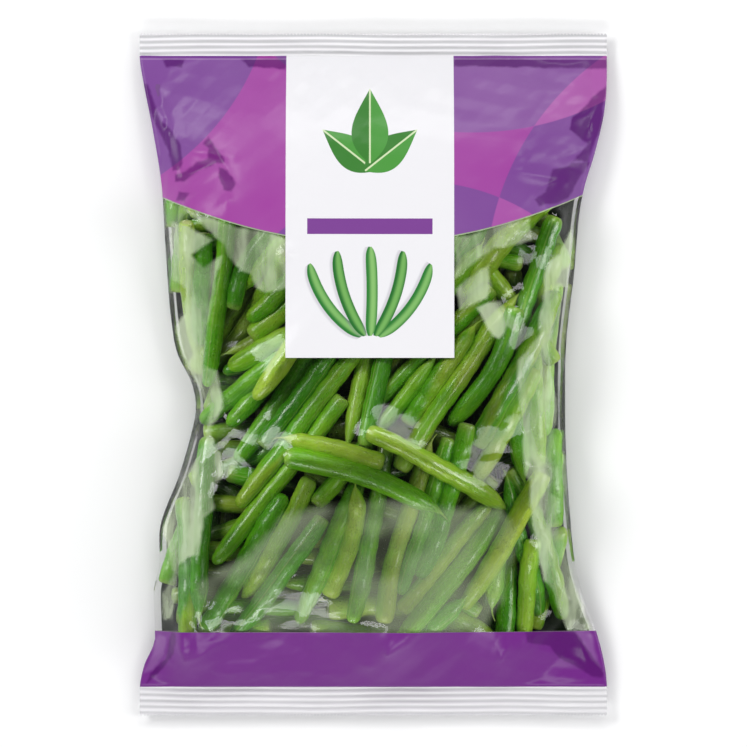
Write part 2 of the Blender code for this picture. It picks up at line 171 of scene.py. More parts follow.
class Finish:
    """A material that is put together from nodes."""

    def __init__(self, name, world=False):
        self.owner = (bpy.data.worlds if world else bpy.data.materials).new(name)
        self.owner.use_nodes = True
        self.tree = self.owner.node_tree
        self.tree.nodes.clear()

    def node(self, kind, settings=(), values=(), out=0):
        """Adds a node. values are numbers, colours or wires by the name or place of a socket."""
        made = self.tree.nodes.new("ShaderNode" + kind)
        for name, value in dict(settings).items():
            if name == "stops":
                while len(made.color_ramp.elements) < len(value):
                    made.color_ramp.elements.new(1)
                for element, (position, colour) in zip(made.color_ramp.elements, value):
                    element.position, element.color = position, colour
            else:
                setattr(made, name, value)
        for name, value in dict(values).items():
            if isinstance(value, Wire):
                self.tree.links.new(value.socket, made.inputs[name])
            else:
                made.inputs[name].default_value = value
        return Wire(self, made.outputs[out])

    def maths(self, operation, *values):
        return self.node("Math", {"operation": operation}, enumerate(values))

    def mix(self, share, low, high):
        """One colour turning into another as share goes from 0 to 1."""
        return self.node("Mix", {"data_type": "RGBA"}, {0: share, 6: low, 7: high}, out=2)

    def step(self, value, low, high):
        """Smoothly 0 up to low and 1 from high on, or the other way round if high is lower."""
        settings = {"interpolation_type": "SMOOTHSTEP"}
        if high > low:
            return self.node("MapRange", settings, {0: value, 1: low, 2: high})
        return 1 - self.node("MapRange", settings, {0: value, 1: high, 2: low})

    def noise(self, place, scale, detail=2.0, roughness=0.5):
        values = {"Vector": place, "Scale": scale, "Detail": detail, "Roughness": roughness}
        return self.node("TexNoise", (), values)

    def attribute(self, name, out=1):
        """A value that the piece's points carry: a vector, or with out=2 a number."""
        return self.node("Attribute", {"attribute_name": name}, (), out)

    def stretched(self, place, scale):
        return self.node("Mapping", (), {"Vector": place, "Scale": scale})

    def parts(self, vector):
        """The three parts of a vector."""
        first = self.node("SeparateXYZ", (), {0: vector})
        return [Wire(self, output) for output in first.socket.node.outputs]

    def bump(self, height, distance, strength=1.0, normal=None):
        values = {"Height": height, "Distance": distance, "Strength": strength}
        if normal is not None:
            values["Normal"] = normal
        return self.node("Bump", (), values)

    def show(self, surface, output="OutputMaterial"):
        shown = self.tree.nodes.new("ShaderNode" + output)
        self.tree.links.new(surface.socket, shown.inputs["Surface"])
        return self.owner


def ink(code):
    """A colour from its hex code, as linear light."""
    parts = [int(code[at : at + 2], 16) / 255 for at in (0, 2, 4)]
    return (*[p / 12.92 if p < 0.04045 else ((p + 0.055) / 1.055) ** 2.4 for p in parts], 1)


def pod_skin():
    """Glossy skin from green to yellow-green, with pale seams and wet glints, and painted shade deep
    down in the pile.
    """
    finish = Finish("pod_skin")
    place = finish.attribute("strand")
    tone, yellow, share = finish.parts(finish.attribute("kind"))
    _, across, _ = finish.parts(place)
    broad = finish.noise(finish.stretched(place, (30, 110, 110)), 1, 2)
    streaks = finish.noise(finish.stretched(place, (50, 1100, 1100)), 1, 3, 0.6)
    specks = finish.noise(finish.stretched(place, (500, 1400, 1400)), 1, 2)
    paleness = tone + (broad - 0.5) * 0.7 + (streaks - 0.5) * 0.45
    greens = ((0.0, "459D15"), (0.3, "6AC51B"), (0.62, "9ADF2B"), (1.0, "D0F250"))
    stops = [(position, ink(code)) for position, code in greens]
    skin = finish.node("ValToRGB", {"stops": stops}, {0: paleness})
    skin = finish.mix(yellow * finish.step(broad, 0.4, 0.65), skin, ink("CFE04C"))
    # Painted shade: the skin turns towards near-black green the deeper it lies under the film.
    painted_depth_shade = finish.step(finish.attribute("depth", out=2), 5 * MM, 17 * MM)
    skin = finish.mix(painted_depth_shade * 0.85, skin, ink("123009"))
    seam = finish.step(abs(across), 0.5 * MM, 0.12 * MM)
    skin = finish.mix(seam * 0.4, skin, ink("C4E074"))
    ends = finish.step(share, 0.07, 0.0) + finish.step(share, 0.93, 1.04)
    skin = finish.mix(ends * 0.5, skin, ink("C2D468"))
    skin = finish.mix(finish.step(specks, 0.6, 0.74) * 0.3, skin, ink("DCEEA6"))
    ridges = finish.bump(streaks * 0.7 + broad * 0.3, 0.3 * MM, 0.6)
    wet = finish.step(finish.noise(place, 110, 2), 0.42, 0.58)
    grain = finish.noise(place, 950, 2, 0.6)
    drops = finish.node("TexVoronoi", (), {"Vector": place, "Scale": 800.0})
    beads = finish.step(drops, 0.42, 0.12) * wet
    glints = finish.bump(beads * 0.8 + grain, 0.3 * MM, 0.9, ridges)
    values = {
        "Base Color": skin,
        "Roughness": 0.26 + (streaks - 0.5) * 0.2,
        "Specular IOR Level": 0.5,
        "Coat Weight": 0.3 + 0.65 * wet,
        "Coat Roughness": 0.2,
        "Normal": glints,
    }
    return finish.show(finish.node("BsdfPrincipled", (), values))


def cut_face():
    """The pale inside of a pod where its stalk was trimmed off."""
    finish = Finish("cut_face")
    place = finish.attribute("strand")
    _, across, over = finish.parts(place)
    out = (across * across + over * over) ** 0.5
    grain = finish.noise(place, 1500, 3)
    flesh = finish.mix(finish.step(out, 1.2 * MM, 3.2 * MM), ink("CFDA90"), ink("93BA55"))
    flesh = finish.mix(grain * 0.4, flesh, ink("8C8A50"))
    values = {
        "Base Color": flesh,
        "Roughness": 0.55,
        "Normal": finish.bump(grain, 0.2 * MM, 0.6),
    }
    return finish.show(finish.node("BsdfPrincipled", (), values))


def curve(knots, values, slopes, at):
    """Values on the smooth curve that has these values and slopes at its knots."""
    piece = np.clip(np.searchsorted(knots, at) - 1, 0, len(knots) - 2)
    span = knots[piece + 1] - knots[piece]
    t = np.clip((at - knots[piece]) / span, 0, 1)
    if values.ndim > 1:
        span, t = span[:, None], t[:, None]
    rise = values[piece] * (1 - t) ** 2 * (1 + 2 * t) + values[piece + 1] * t**2 * (3 - 2 * t)
    return rise + span * t * (1 - t) * (slopes[piece] * (1 - t) - slopes[piece + 1] * t)


def smooth_line(y, points):
    """Values at y on a smooth line through points in mm, with no overshoot between them."""
    knots, values = (np.array(column, float) * MM for column in zip(*points))
    steps = np.diff(values) / np.diff(knots)
    inner = np.where(steps[1:] * steps[:-1] > 0, (steps[1:] + steps[:-1]) / 2, 0)
    return curve(knots, values, np.concatenate([[0], inner, [0]]), y)


def folds(y):
    """x of the left and the right side fold."""
    return smooth_line(y, LEFT_DRAW) - BAG_WIDTH / 2, BAG_WIDTH / 2 - smooth_line(y, RIGHT_DRAW)


def along_body(y):
    """-1 at the bottom seal, 0 at mid length and 1 at the top seal."""
    return np.clip((y - BODY_MIDDLE) / BODY_HALF, -1, 1)


def fold_height(y):
    """Height of the side folds, where front and back meet."""
    return SEAL_Z + (SIDE_FOLD_Z - SEAL_Z) * (1 - np.abs(along_body(y)) ** 3)


def back_height(x, y):
    """Height of the back of the bag: flat in the middle, curling up to its edges."""
    left, right = folds(y)
    across = np.abs(2 * x - left - right) / (right - left)
    out = (np.minimum(across, 1) ** 6 + np.abs(along_body(y)) ** 6) ** (1 / 6)
    curl = np.clip((out - FLAT_SHARE) / (1 - FLAT_SHARE), 0, 1)
    return fold_height(y) * curl**2.2


def pod_radii(along):
    """Share of a pod's half width along it: a blunt cut end, an even body, a long taper."""
    shoulder = 1 - 0.16 * np.clip(1 - along / 0.05, 0, 1) ** 2
    return shoulder * (1 - 0.88 * np.clip((along - 0.8) / 0.2, 0, 1) ** 1.7)


class Pod:
    """One pod's centre line through its knots, and its half width."""

    def __init__(self, centres, half_width, shares=RING_SHARES):
        self.centres, self.half_width, self.shares = centres, half_width, shares

    def line(self, along):
        """Points at these shares of its length, and straight on past its tip."""
        slopes = np.gradient(self.centres, self.shares, axis=0)
        past = np.maximum(along - self.shares[-1], 0)[:, None]
        return curve(self.shares, self.centres, slopes, along) + past * slopes[-1]

    def length(self):
        return np.linalg.norm(np.diff(self.centres, axis=0), axis=1).sum()


def end_points(places, along):
    """The points of a pod's ring at its low end, by how far along it each point is."""
    near = places[along < along.min() + 3.2 * MM]
    thick = np.linalg.norm(near - near.mean(0), axis=1).mean()
    return near if thick > 2 * MM else places[along < along.min() + 1.2 * MM]


def slice_of(corners, origin, ahead):
    """Middle and reach of a slice through a pod's triangles."""
    beyond = (corners - origin) @ ahead
    crossed = (beyond.min(1) < 0) & (beyond.max(1) > 0)
    corners, beyond = corners[crossed], beyond[crossed]
    single = (np.sign(beyond) > 0).sum(1) == 1
    lone = np.where(single, np.argmax(beyond, axis=1), np.argmin(beyond, axis=1))
    row = np.arange(len(corners))
    ends = []
    start = corners[row, lone]
    for step in (1, 2):
        other = (lone + step) % 3
        share = beyond[row, lone] / (beyond[row, lone] - beyond[row, other])
        ends.append(start + share[:, None] * (corners[row, other] - start))
    weight = np.linalg.norm(ends[0] - ends[1], axis=1)[:, None]
    middle = ((ends[0] + ends[1]) / 2 * weight).sum(0) / weight.sum()
    return middle, np.linalg.norm(np.concatenate(ends) - middle, axis=1).max()


def packed_pod(node):
    """A packed pod's centre line, from its cut end to its tip."""
    mesh = node.data
    places = np.array([v.co for v in mesh.vertices])
    corners = places[np.array([p.vertices[:] for p in mesh.polygons])]
    places = np.unique(np.round(places, 6), axis=0)
    axis = np.linalg.svd(places - places.mean(0), full_matrices=False)[2][0]
    ends = [end_points(places, places @ axis), end_points(places, places @ -axis)]
    widths = [np.linalg.norm(end - end.mean(0), axis=1).mean() for end in ends]
    cut, tip = (ends if widths[0] > widths[1] else ends[::-1])
    cut, tip = cut.mean(0), tip.mean(0)
    ahead = (tip - cut) / np.linalg.norm(tip - cut)
    inner = [slice_of(corners, cut + share * (tip - cut), ahead) for share in RING_SHARES[1:-1]]
    centres = np.array([cut, *[middle for middle, _ in inner], tip])
    return Pod(centres, max(reach for _, reach in inner[1:3]))


def back_pods():
    """The lowest pods: two zigzag rows, at one height."""
    draw = np.random.default_rng(BACK_SEED)
    height = BACK_CLEARANCE + BACK_WIDTH / 2
    lean = math.asin(BACK_PITCH / (BACK_LENGTH - 2 * BACK_END_CROSS))
    pods = []
    for row, middle_y in enumerate(BACK_MIDDLES):
        for column in range(BACK_COLUMNS):
            middle = np.array([(column - (BACK_COLUMNS - 1) / 2) * BACK_PITCH, middle_y])
            heading = math.pi / 2 + lean * (-1) ** (row + column)
            half = BACK_LENGTH / 2 * np.array([math.cos(heading), math.sin(heading)])
            half *= draw.choice((-1, 1))
            bow = draw.uniform(-BACK_BOW, BACK_BOW)
            side = np.array([-half[1], half[0]]) / np.hypot(*half)
            share = RING_SHARES[:, None]
            plan = middle + (2 * share - 1) * half + bow * 4 * share * (1 - share) * side
            pods.append(Pod(np.column_stack([plan, np.full(len(plan), height)]), BACK_WIDTH / 2))
    return pods


LOOSE_SHARES = np.linspace(0, 1, 5)

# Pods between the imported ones: 5 points of the centre line from cut end to tip, and width, in mm.
# These places aren't chosen by hand: a separate search for gaps in the pile worked them out.
LOOSE_PODS = (
    (-7.2, 11.4, 31.4, -20, -5.7, 32.4, -35.2, -25.6, 32.2, -50.3, -45.6, 31.9, -63.1, -62.7,
     31.2, 8.4),
    (12.4, -105.7, 28.9, 21.9, -93.6, 28.3, 33, -79.5, 27.6, 44.4, -65.7, 26.7, 54.7, -54.4,
     25.2, 7.7),
    (37, 42.3, 13.8, 27.9, 29.2, 16.5, 16.9, 14.3, 19.9, 5.8, -0.6, 23, -3.6, -13.6, 24.8, 8),
    (4.5, -86.7, 21.6, 15.1, -76.4, 23.3, 27.1, -63.8, 24.2, 38.3, -50.5, 23.1, 48.3, -39.5,
     21.8, 8.7),
    (-4.1, 14.3, 16.9, -19.2, 11.1, 17.5, -36.8, 7.5, 18.2, -54.4, 4, 18.9, -69.5, 1, 19.5, 8),
    (34.1, -28.2, 33.3, 29, -45.2, 32.7, 22.9, -64.9, 32.2, 16.6, -84.6, 31.6, 11.1, -101.4, 31,
     7.7),
    (-79.2, 0.7, 15.2, -72.1, 14, 15.7, -62.3, 28.7, 15.9, -49.8, 41.1, 17.3, -37.9, 49.9, 20.5,
     7.8),
    (-76.2, -78.4, 21.4, -60.3, -79.1, 22, -41.9, -80, 23.1, -23.5, -81, 25.3, -7.7, -81.3, 27,
     8.4),
    (53, 38.6, 27.3, 40, 25.9, 28, 25.1, 10.9, 28.6, 10.3, -4.2, 29.1, -2.4, -17.1, 29.5, 7.7),
    (17.3, 84, 19.5, 32.9, 78, 17.7, 51.1, 70.9, 15.7, 69.4, 64, 14.1, 85.2, 58.4, 13.6, 8.6),
    (-13.5, -10.3, 33.2, -27, -28.1, 32, -42.9, -48.7, 31.2, -59.1, -69.1, 30.7, -72.8, -86.6,
     29.9, 7.8),
    (-64, -123, 6.8, -64, -106.5, 6.7, -64.2, -87.3, 7, -64.3, -68.1, 8.2, -64.5, -51.7, 9.3, 8.4),
    (-61, 48.1, 5.2, -60.8, 62.4, 6.8, -60.8, 78.9, 10, -60.9, 95.3, 13.6, -61, 109.4, 16.6, 7.8),
    (-75.6, -115.7, 22.2, -66.9, -100.4, 25.8, -56.6, -82.6, 29.8, -46.2, -64.9, 33.3, -37,
     -49.7, 35.8, 8.7),
    (-82.6, 72.9, 24, -64.9, 81.2, 23.6, -44.2, 91, 23.1, -23.5, 100.7, 22.7, -5.8, 109.1, 22.3,
     8.6),
    (50, -29.9, 14.3, 33.3, -32.5, 15.6, 14.1, -34.3, 20, -5.3, -33.9, 23.3, -22.1, -32.5, 24.9,
     8.4),
    (-27.9, -113.2, 23.1, -10.9, -114.9, 20.5, 9.1, -117, 17.4, 29, -119.1, 14.4, 46, -121, 11.8,
     7.8),
    (-2.9, 102.1, 22.8, -15.2, 91, 22.6, -29.5, 78, 22.4, -43.9, 65, 22.3, -56.2, 53.9, 22.1, 8.5),
    (64.7, -115.6, 8.8, 69.3, -96.1, 9.2, 74.6, -73.3, 9.8, 79.8, -50.5, 11, 84, -31, 12.2, 7.6),
    (4.7, -110.6, 29.1, 7.4, -91.5, 30.1, 13, -69.8, 31, 19.7, -48.3, 32.1, 25.6, -30, 34, 8.4),
    (-50.1, -35.8, 6.5, -48.8, -19.2, 6.8, -47.5, 0, 8.5, -46.3, 19.2, 11.5, -44.9, 35.4, 14.8,
     8.7),
    (-16.9, 72.7, 26.7, -24.5, 59.9, 28.5, -34, 45.2, 29.9, -46, 32.4, 30, -57.7, 23, 28.8, 8),
    (-79.6, 2.5, 11.6, -73.6, 15.4, 9.8, -66.1, 30.2, 9.6, -56.8, 43.6, 13, -47.6, 53.7, 17.3,
     7.8),
    (-3.8, -32.1, 37.1, 0.3, -11.1, 34.4, 5.9, 12.9, 30.1, 12, 37.1, 27.4, 17.2, 58, 25.8, 8),
    (57.9, 29.6, 14.6, 59.3, 11.5, 15.3, 61.9, -9.2, 19, 64.8, -29.6, 24.1, 67.2, -47.1, 28.5,
     8.8),
    (-66.6, -15.6, 6.4, -68.3, -31.8, 6, -70.4, -50.7, 5.7, -72.4, -69.5, 5.3, -74, -85.7, 5, 7.9),
    (-29.8, 87.7, 26.1, -41.7, 77.2, 25.3, -56.4, 66.1, 23.4, -72.7, 58.4, 19.4, -87, 52.4, 16, 8),
    (72.3, 2.4, 27.4, 65.9, -10.5, 28.7, 58.1, -25.5, 29.6, 49.5, -40, 29.7, 41.3, -51.8, 28.8,
     8.2),
    (57, -29, 12.1, 53.9, -14.8, 13.5, 50.3, 1.8, 14.6, 46.6, 18.4, 13.8, 43.5, 32.7, 12.8, 8.1),
    (-54.9, 17.1, 26.5, -42.5, 26.7, 25.7, -29.6, 39.6, 26.1, -18, 53.7, 27.6, -7, 64.8, 28.4,
     8.7),
    (5, 65.4, 14.1, -10.4, 65.7, 14.4, -28.3, 66.1, 14.5, -46.2, 66.6, 15.1, -61.5, 67, 16.8, 7.6),
    (29, -38.3, 25.5, 14, -41, 24.5, -3.8, -42, 23.7, -21.7, -40.7, 23.6, -37, -39.2, 23.2, 8.6),
    (58.4, -17.4, 4.9, 60.2, -36.5, 5.1, 62.5, -58.7, 5, 64.5, -80.9, 5, 65.9, -100, 4.5, 8.5),
    (33.5, -56, 8.5, 33.8, -37.1, 7.5, 34.2, -15, 6.4, 34.5, 7.1, 5.2, 34.7, 26, 4.2, 8.3),
    (24.7, -95.4, 12.5, 9.4, -94.8, 16.2, -8.5, -94.2, 20.3, -26.8, -93.5, 22.2, -42.5, -92.6,
     23.3, 8.2),
    (-8.4, -128.1, 9.2, -24, -128.8, 9.3, -42.2, -129.6, 9.4, -60.5, -130.5, 9.6, -76.1, -131.2,
     10.1, 8.8),
    (-6.8, -66.2, 18.2, -24.7, -63.3, 19.3, -45.6, -60.1, 20.9, -66.7, -57.7, 20.3, -84.6, -55.3,
     17.9, 7.5),
    (-64.8, 73.8, 4.5, -67.5, 61.5, 5.5, -70.7, 47.2, 6.6, -74, 32.8, 7.7, -76.9, 20.6, 8.8, 7.7),
    (43.3, -59.2, 15.3, 26, -55.9, 16.6, 5.9, -52.1, 18.1, -14.2, -48.2, 19.5, -31.5, -45, 20.6,
     7.7),
    (66.8, 49.4, 20.5, 54.7, 51.8, 18.7, 40.5, 54.8, 17.8, 26.3, 57.8, 17.6, 14.1, 60.3, 17.6,
     7.8),
    (72, -114.2, 6.1, 74.9, -102.8, 6.9, 78.6, -89.7, 8.2, 82.6, -76.8, 10.7, 85.9, -65.9, 13.3,
     7.5),
    (-9.7, -3.5, 13.9, -25.9, -2.9, 14.1, -44.7, -2.3, 14.3, -63.5, -1.8, 13.6, -79.6, -2.3,
     12.5, 7.6),
    (16.5, -64.3, 25.6, 4.7, -59.6, 25.6, -8.8, -53.8, 26.1, -22.1, -47.5, 27.9, -33.3, -41.9,
     29.7, 7.6),
    (-2.5, -16.2, 22.9, 9.2, -14.3, 20.3, 22.7, -11.7, 17.3, 36, -8.2, 13.7, 47.3, -5, 10.6, 7.4),
    (47.8, -106.7, 16.8, 35.3, -98.8, 16.9, 20.5, -89.9, 16.7, 5.3, -81.9, 16.4, -8.1, -75.5,
     16.1, 7.5),
    (-49.7, -32, 32.6, -41.6, -21.1, 32.7, -32.2, -8.3, 32.9, -22.7, 4.4, 33.1, -14.5, 15.3,
     33.2, 7.7),
    (-87.1, 36.8, 12.4, -86.1, 48.3, 12.9, -84.6, 61.8, 14.2, -82.9, 75.1, 16, -81.3, 86.5, 17.4,
     8.4),
    (14.8, -22.2, 32.1, 21.6, -11.9, 32.6, 30, -0.3, 32.8, 38.3, 11.4, 31.7, 45.1, 21.6, 30.7,
     7.6),
    (-75.4, 63, 27.8, -75.8, 51, 25.5, -76.3, 37, 22.8, -76.8, 22.9, 20.6, -77.3, 10.7, 19.3, 7.9),
    (62.5, 91.8, 12.7, 68.6, 81.3, 11.4, 75.6, 69, 9.8, 82.2, 56.3, 9.7, 87.4, 45.4, 11.5, 8),
    (-27.6, 14.9, 23.1, -36.8, 5.7, 23.8, -47.5, -5.1, 24.3, -58.2, -15.9, 24.8, -67.3, -25.1,
     25.2, 7.5),
    (41.9, -21.9, 36.5, 38, -39, 34.2, 32.6, -58.8, 32.6, 26, -78.3, 32.2, 18.4, -94.2, 32.3, 8),
    (-4.6, -127.8, 15.3, 6.7, -123.4, 19.2, 19.7, -116.9, 22.8, 31.5, -108.2, 25.8, 41, -99.7,
     27, 7.8),
    (53.3, -119.3, 7.4, 51.3, -102.9, 7, 49.2, -83.7, 7.5, 47.3, -64.6, 8.6, 46.2, -48.1, 9.3,
     7.9),
    (-35.5, -52.9, 13.5, -27.9, -62.2, 13.9, -18.8, -72.4, 16.8, -9.4, -82.1, 21, -1.5, -90.3,
     24.7, 8.5),
    (-73.4, -16.8, 10, -68.9, -4.7, 8.2, -64.2, 9.7, 7.1, -60.7, 24.4, 8.8, -57.9, 37.1, 10.6,
     7.5),
    (56.6, -47, 12.9, 55.9, -60.3, 15.1, 55.7, -75.7, 18, 54.5, -91.3, 19.6, 53, -104.6, 20.8,
     8.5),
    (74.1, -108.3, 6.5, 72.5, -94.1, 13.4, 66.9, -77.6, 19.7, 62.3, -60.4, 24.8, 59.4, -45.2,
     28.8, 7.3),
    (-40.2, 7.9, 29.1, -50.2, 1.4, 27, -60.8, -7.6, 23.8, -70.6, -16.3, 18.5, -78.8, -22.7, 12.1,
     8.2),
    (-81.9, -47.5, 19.6, -69.6, -42.9, 20, -55.3, -37.9, 21.8, -41.5, -32.5, 25.2, -29.7, -27.6,
     28.4, 7.2),
    (-92.8, -93.8, 12.5, -89.7, -83.6, 12.4, -85.3, -72.1, 11.6, -80.1, -60.9, 10.9, -76.4, -51,
     11.5, 7.7),
    (-21.5, 77.4, 26.9, -30.7, 69.2, 28.2, -41.4, 59.4, 29.7, -50.3, 48, 29.6, -57, 37.9, 26.6,
     7.3),
    (-25.9, -58, 36, -13, -43.4, 33.7, 1.7, -25.9, 32.3, 15.7, -7.7, 32.9, 27.6, 7.9, 33.5, 7.4),
    (81.3, 5.1, 14.9, 73.5, 16.1, 15.7, 64.3, 28.8, 17.6, 55.5, 41.1, 22, 47.6, 51.7, 25, 7.8),
    (-19.9, -98.8, 30.4, -15.2, -87.8, 32.6, -10, -74.9, 35, -7.1, -61.5, 38.1, -8, -49.8, 41,
     7.7),
    (66.4, 97.9, 20, 55.3, 88.4, 22, 44.5, 75.3, 24.4, 35.6, 60.7, 26.4, 29.8, 47.4, 28.5, 8.3),
    (13.8, 9, 28, 21.6, 20.4, 27.8, 30.6, 33.7, 27.7, 40, 46.9, 27.7, 48.4, 57.9, 27.7, 7.3),
    (72, 14.7, 7.6, 73.2, 25, 11.8, 75.8, 37.1, 15.9, 80.7, 49.1, 17.6, 84.3, 59.7, 17.3, 8.1),
    (-62.4, 29, 28.1, -59.2, 43.3, 28.8, -51.2, 58.3, 29.4, -39.8, 71, 29.1, -29.4, 81.3, 27.9,
     7.5),
    (-86.4, -102.1, 17.4, -71.8, -102.8, 18.8, -54.8, -103.6, 20.2, -37.7, -103.8, 20.4, -23.1,
     -104.4, 18.9, 7.7),
    (80.9, -68, 16.3, 80.7, -57.2, 17.6, 80.5, -44.6, 18.2, 80.9, -32.4, 15, 82.3, -23, 9.8, 7.6),
    (4.8, -39.2, 41.2, -5.5, -36.4, 41.1, -17.3, -32.7, 39.9, -29.4, -30.1, 38.7, -39.9, -28.1,
     37.8, 7.5),
    (-89.4, 66.1, 11.4, -89.3, 78.5, 11.7, -88.7, 92.9, 11.1, -87.9, 107.4, 10.3, -87.2, 119.7,
     9.6, 7.4),
    (-45.7, -112.6, 23.2, -57.4, -114.5, 20, -71.1, -116.6, 16.4, -84.8, -118.6, 13, -96.5,
     -120.6, 9.9, 8.2),
)


def loose_pods():
    """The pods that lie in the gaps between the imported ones."""
    pods = []
    for *places, width in LOOSE_PODS:
        centres = np.reshape(places, (5, 3)) * MM
        pods.append(Pod(centres, width / 2 * MM, LOOSE_SHARES))
    return pods


def pod_frames(points):
    """Directions along and across a line, turned as little as can be from point to point."""
    ahead = np.gradient(points, axis=0)
    ahead /= np.linalg.norm(ahead, axis=1, keepdims=True)
    side = np.cross(ahead[0], (0, 0, 1))
    sides = []
    for direction in ahead:
        side = side - side @ direction * direction
        side = side / np.linalg.norm(side)
        sides.append(side)
    sides = np.array(sides)
    return sides, np.cross(ahead, sides)


def pressed_inside(places):
    """Keeps a pod's points off the side folds and the back of the bag."""
    left, right = folds(places[..., 1])
    places[..., 0] = np.clip(places[..., 0], left + SIDE_KEEP, right - SIDE_KEEP)
    least = back_height(places[..., 0], places[..., 1]) + BACK_KEEP
    places[..., 2] = np.maximum(places[..., 2], least)


def roomy(place):
    """Whether a tail fits in the bag at a tip."""
    left, right = folds(place[1])
    aside = min(place[0] - left, right - place[0])
    return abs(along_body(place[1])) < TAIL_REACH and aside > TAIL_ROOM


def pod_profile(length, tip, draw):
    """Shares along a pod, its radius there as a share, and whether its tip keeps a thin tail."""
    tailed = draw.random() < TAIL_CHANCE and roomy(tip)
    end = length if tailed else length * draw.uniform(0.91, 0.97)
    rounding = draw.uniform(3, 4.2) * MM
    first = np.array([0, 0.25, 0.7, 1.4, 2.3]) * MM
    last = end - np.array([4.6, 3.4, 2.4, 1.5, 0.8, 0.35, 0.1, 0]) * MM
    run = np.concatenate([first, np.linspace(3.6 * MM, end - 6 * MM, 40), last])
    share = run / end
    if tailed:
        radius = pod_radii(share)
        tail = np.linspace(0, 1, 7)[1:]
        run = np.concatenate([run, end + tail * draw.uniform(3.5, 7.5) * MM])
        radius = np.concatenate([radius, radius[-1] * (1 - 0.65 * tail)])
    else:
        blunt = draw.uniform(0.3, 0.45)
        radius = 1 - blunt * np.clip((share - 0.72) / 0.28, 0, 1) ** 2
        left = np.clip((end - run) / rounding, 0, 1)
        radius = radius * (0.22 + 0.78 * np.sqrt(1 - (1 - left) ** 2))
    start = np.clip(run / (1.6 * MM), 0, 1)
    radius = radius * (1 - 0.12 * np.clip(1 - run / (0.1 * end), 0, 1) ** 2)
    return run / length, radius * (0.72 + 0.28 * np.sqrt(1 - (1 - start) ** 2)), tailed


def pod_shell(shell, pod, draw, layers, film):
    """Adds one pod to a bmesh: bulges over its seeds, a seam on both edges, a trimmed end.

    film has the heights of the film over the field, from which each point's depth is told.
    """
    length = pod.length()
    along, shape, tailed = pod_profile(length, pod.centres[-1], draw)
    radius = PLUMPNESS * pod.half_width * shape
    line = pod.line(along)
    sides, ups = pod_frames(line)
    run = along * length
    phases = draw.uniform(0, 2 * math.pi, 4)
    free = np.sin(math.pi * np.clip(along, 0, 1))
    line = line + sides * (0.35 * MM * free * np.sin(run / (9 * MM) + phases[0]))[:, None]
    line = line + ups * (0.2 * MM * free * np.sin(run / (7 * MM) + phases[1]))[:, None]
    if tailed:
        hook = np.clip(along - 0.985, 0, 1) * length
        line = line + sides * (draw.choice((-1, 1)) * 0.045 * hook**2 / MM)[:, None]
        line[:, 2] -= np.clip(along - 1, 0, 1) * length * 0.25
    pitch = SEED_PITCH * draw.uniform(0.85, 1.2)
    seeds = 0.5 + 0.5 * np.cos(2 * math.pi * run / pitch + phases[2])
    inner = np.clip(np.minimum(along / 0.12, (0.93 - along) / 0.12), 0, 1)
    fullness = draw.uniform(0.05, 0.14)
    roll = draw.uniform(0, math.pi)
    angles = np.linspace(0, 2 * math.pi, POD_SIDES + 1)
    flat = np.cos(2 * angles)
    groove = np.exp(-((np.sin(angles) / 0.3) ** 2))
    bulge = fullness * (inner * (seeds - 0.6))[:, None] * (0.75 - 0.25 * flat)
    section = 1 + 0.045 * flat + bulge - 0.018 * groove
    short, long = np.sin(run / (5 * MM) + phases[3]), np.sin(run / (14 * MM) + phases[0])
    spread = radius[:, None] * (section * (1 + (0.02 * short + 0.045 * long))[:, None])
    ways = angles + roll
    places = line[:, None] + spread[..., None] * (
        np.cos(ways)[None, :, None] * sides[:, None] + np.sin(ways)[None, :, None] * ups[:, None]
    )
    pressed_inside(places)
    made = bmesh.ops.create_grid(
        shell, x_segments=POD_SIDES, y_segments=len(along) - 1, size=1
    )["verts"]
    strand, kind, deep = layers
    depths = sampled(film, places[..., 0], places[..., 1]) - places[..., 2]
    tone, yellow = draw.uniform(0.1, 0.95), max(0, draw.uniform(-0.9, 0.7))
    offset = draw.uniform(0, 1)
    starts = np.repeat(run[:, None], POD_SIDES + 1, axis=1) + offset
    local = np.stack([starts, spread * np.sin(angles), spread * np.cos(angles)], axis=2)
    shares = np.repeat(along[:, None], POD_SIDES + 1, axis=1)
    rows = zip(made, places.reshape(-1, 3), local.reshape(-1, 3), shares.ravel(), depths.ravel())
    for vertex, place, own, share, depth in rows:
        vertex.co = place
        vertex[strand] = own
        vertex[kind] = (tone, yellow, share)
        vertex[deep] = depth
    columns = POD_SIDES + 1
    seam = [made[row * columns + side] for row in range(len(along)) for side in (0, POD_SIDES)]
    bmesh.ops.remove_doubles(shell, verts=seam, dist=0.005 * MM)
    made = [v for v in made if v.is_valid]
    rim = [e for v in made for e in v.link_edges if e.is_boundary]
    caps = bmesh.ops.holes_fill(shell, edges=list(set(rim)), sides=0)["faces"]
    for cap in caps:
        cap.material_index = 1
    middles = bmesh.ops.poke(shell, faces=caps)["verts"]
    for middle in middles:
        middle[strand] = (offset, 0, 0)
        middle[kind] = (tone, yellow, 0)
        middle[deep] = sampled(film, middle.co.x, middle.co.y) - middle.co.z
    return places.reshape(-1, 3)


def finished(name, shell, materials, replaced, sharp):
    """An object from a bmesh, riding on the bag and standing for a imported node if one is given."""
    mesh = bpy.data.meshes.new(name)
    shell.to_mesh(mesh)
    shell.free()
    for material in materials:
        mesh.materials.append(material)
    mesh.shade_smooth()
    mesh.set_sharp_from_angle(angle=sharp)
    made = bpy.data.objects.new(name, mesh)
    bpy.context.scene.collection.objects.link(made)
    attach(made, "root")
    if replaced:
        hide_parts(replaced)


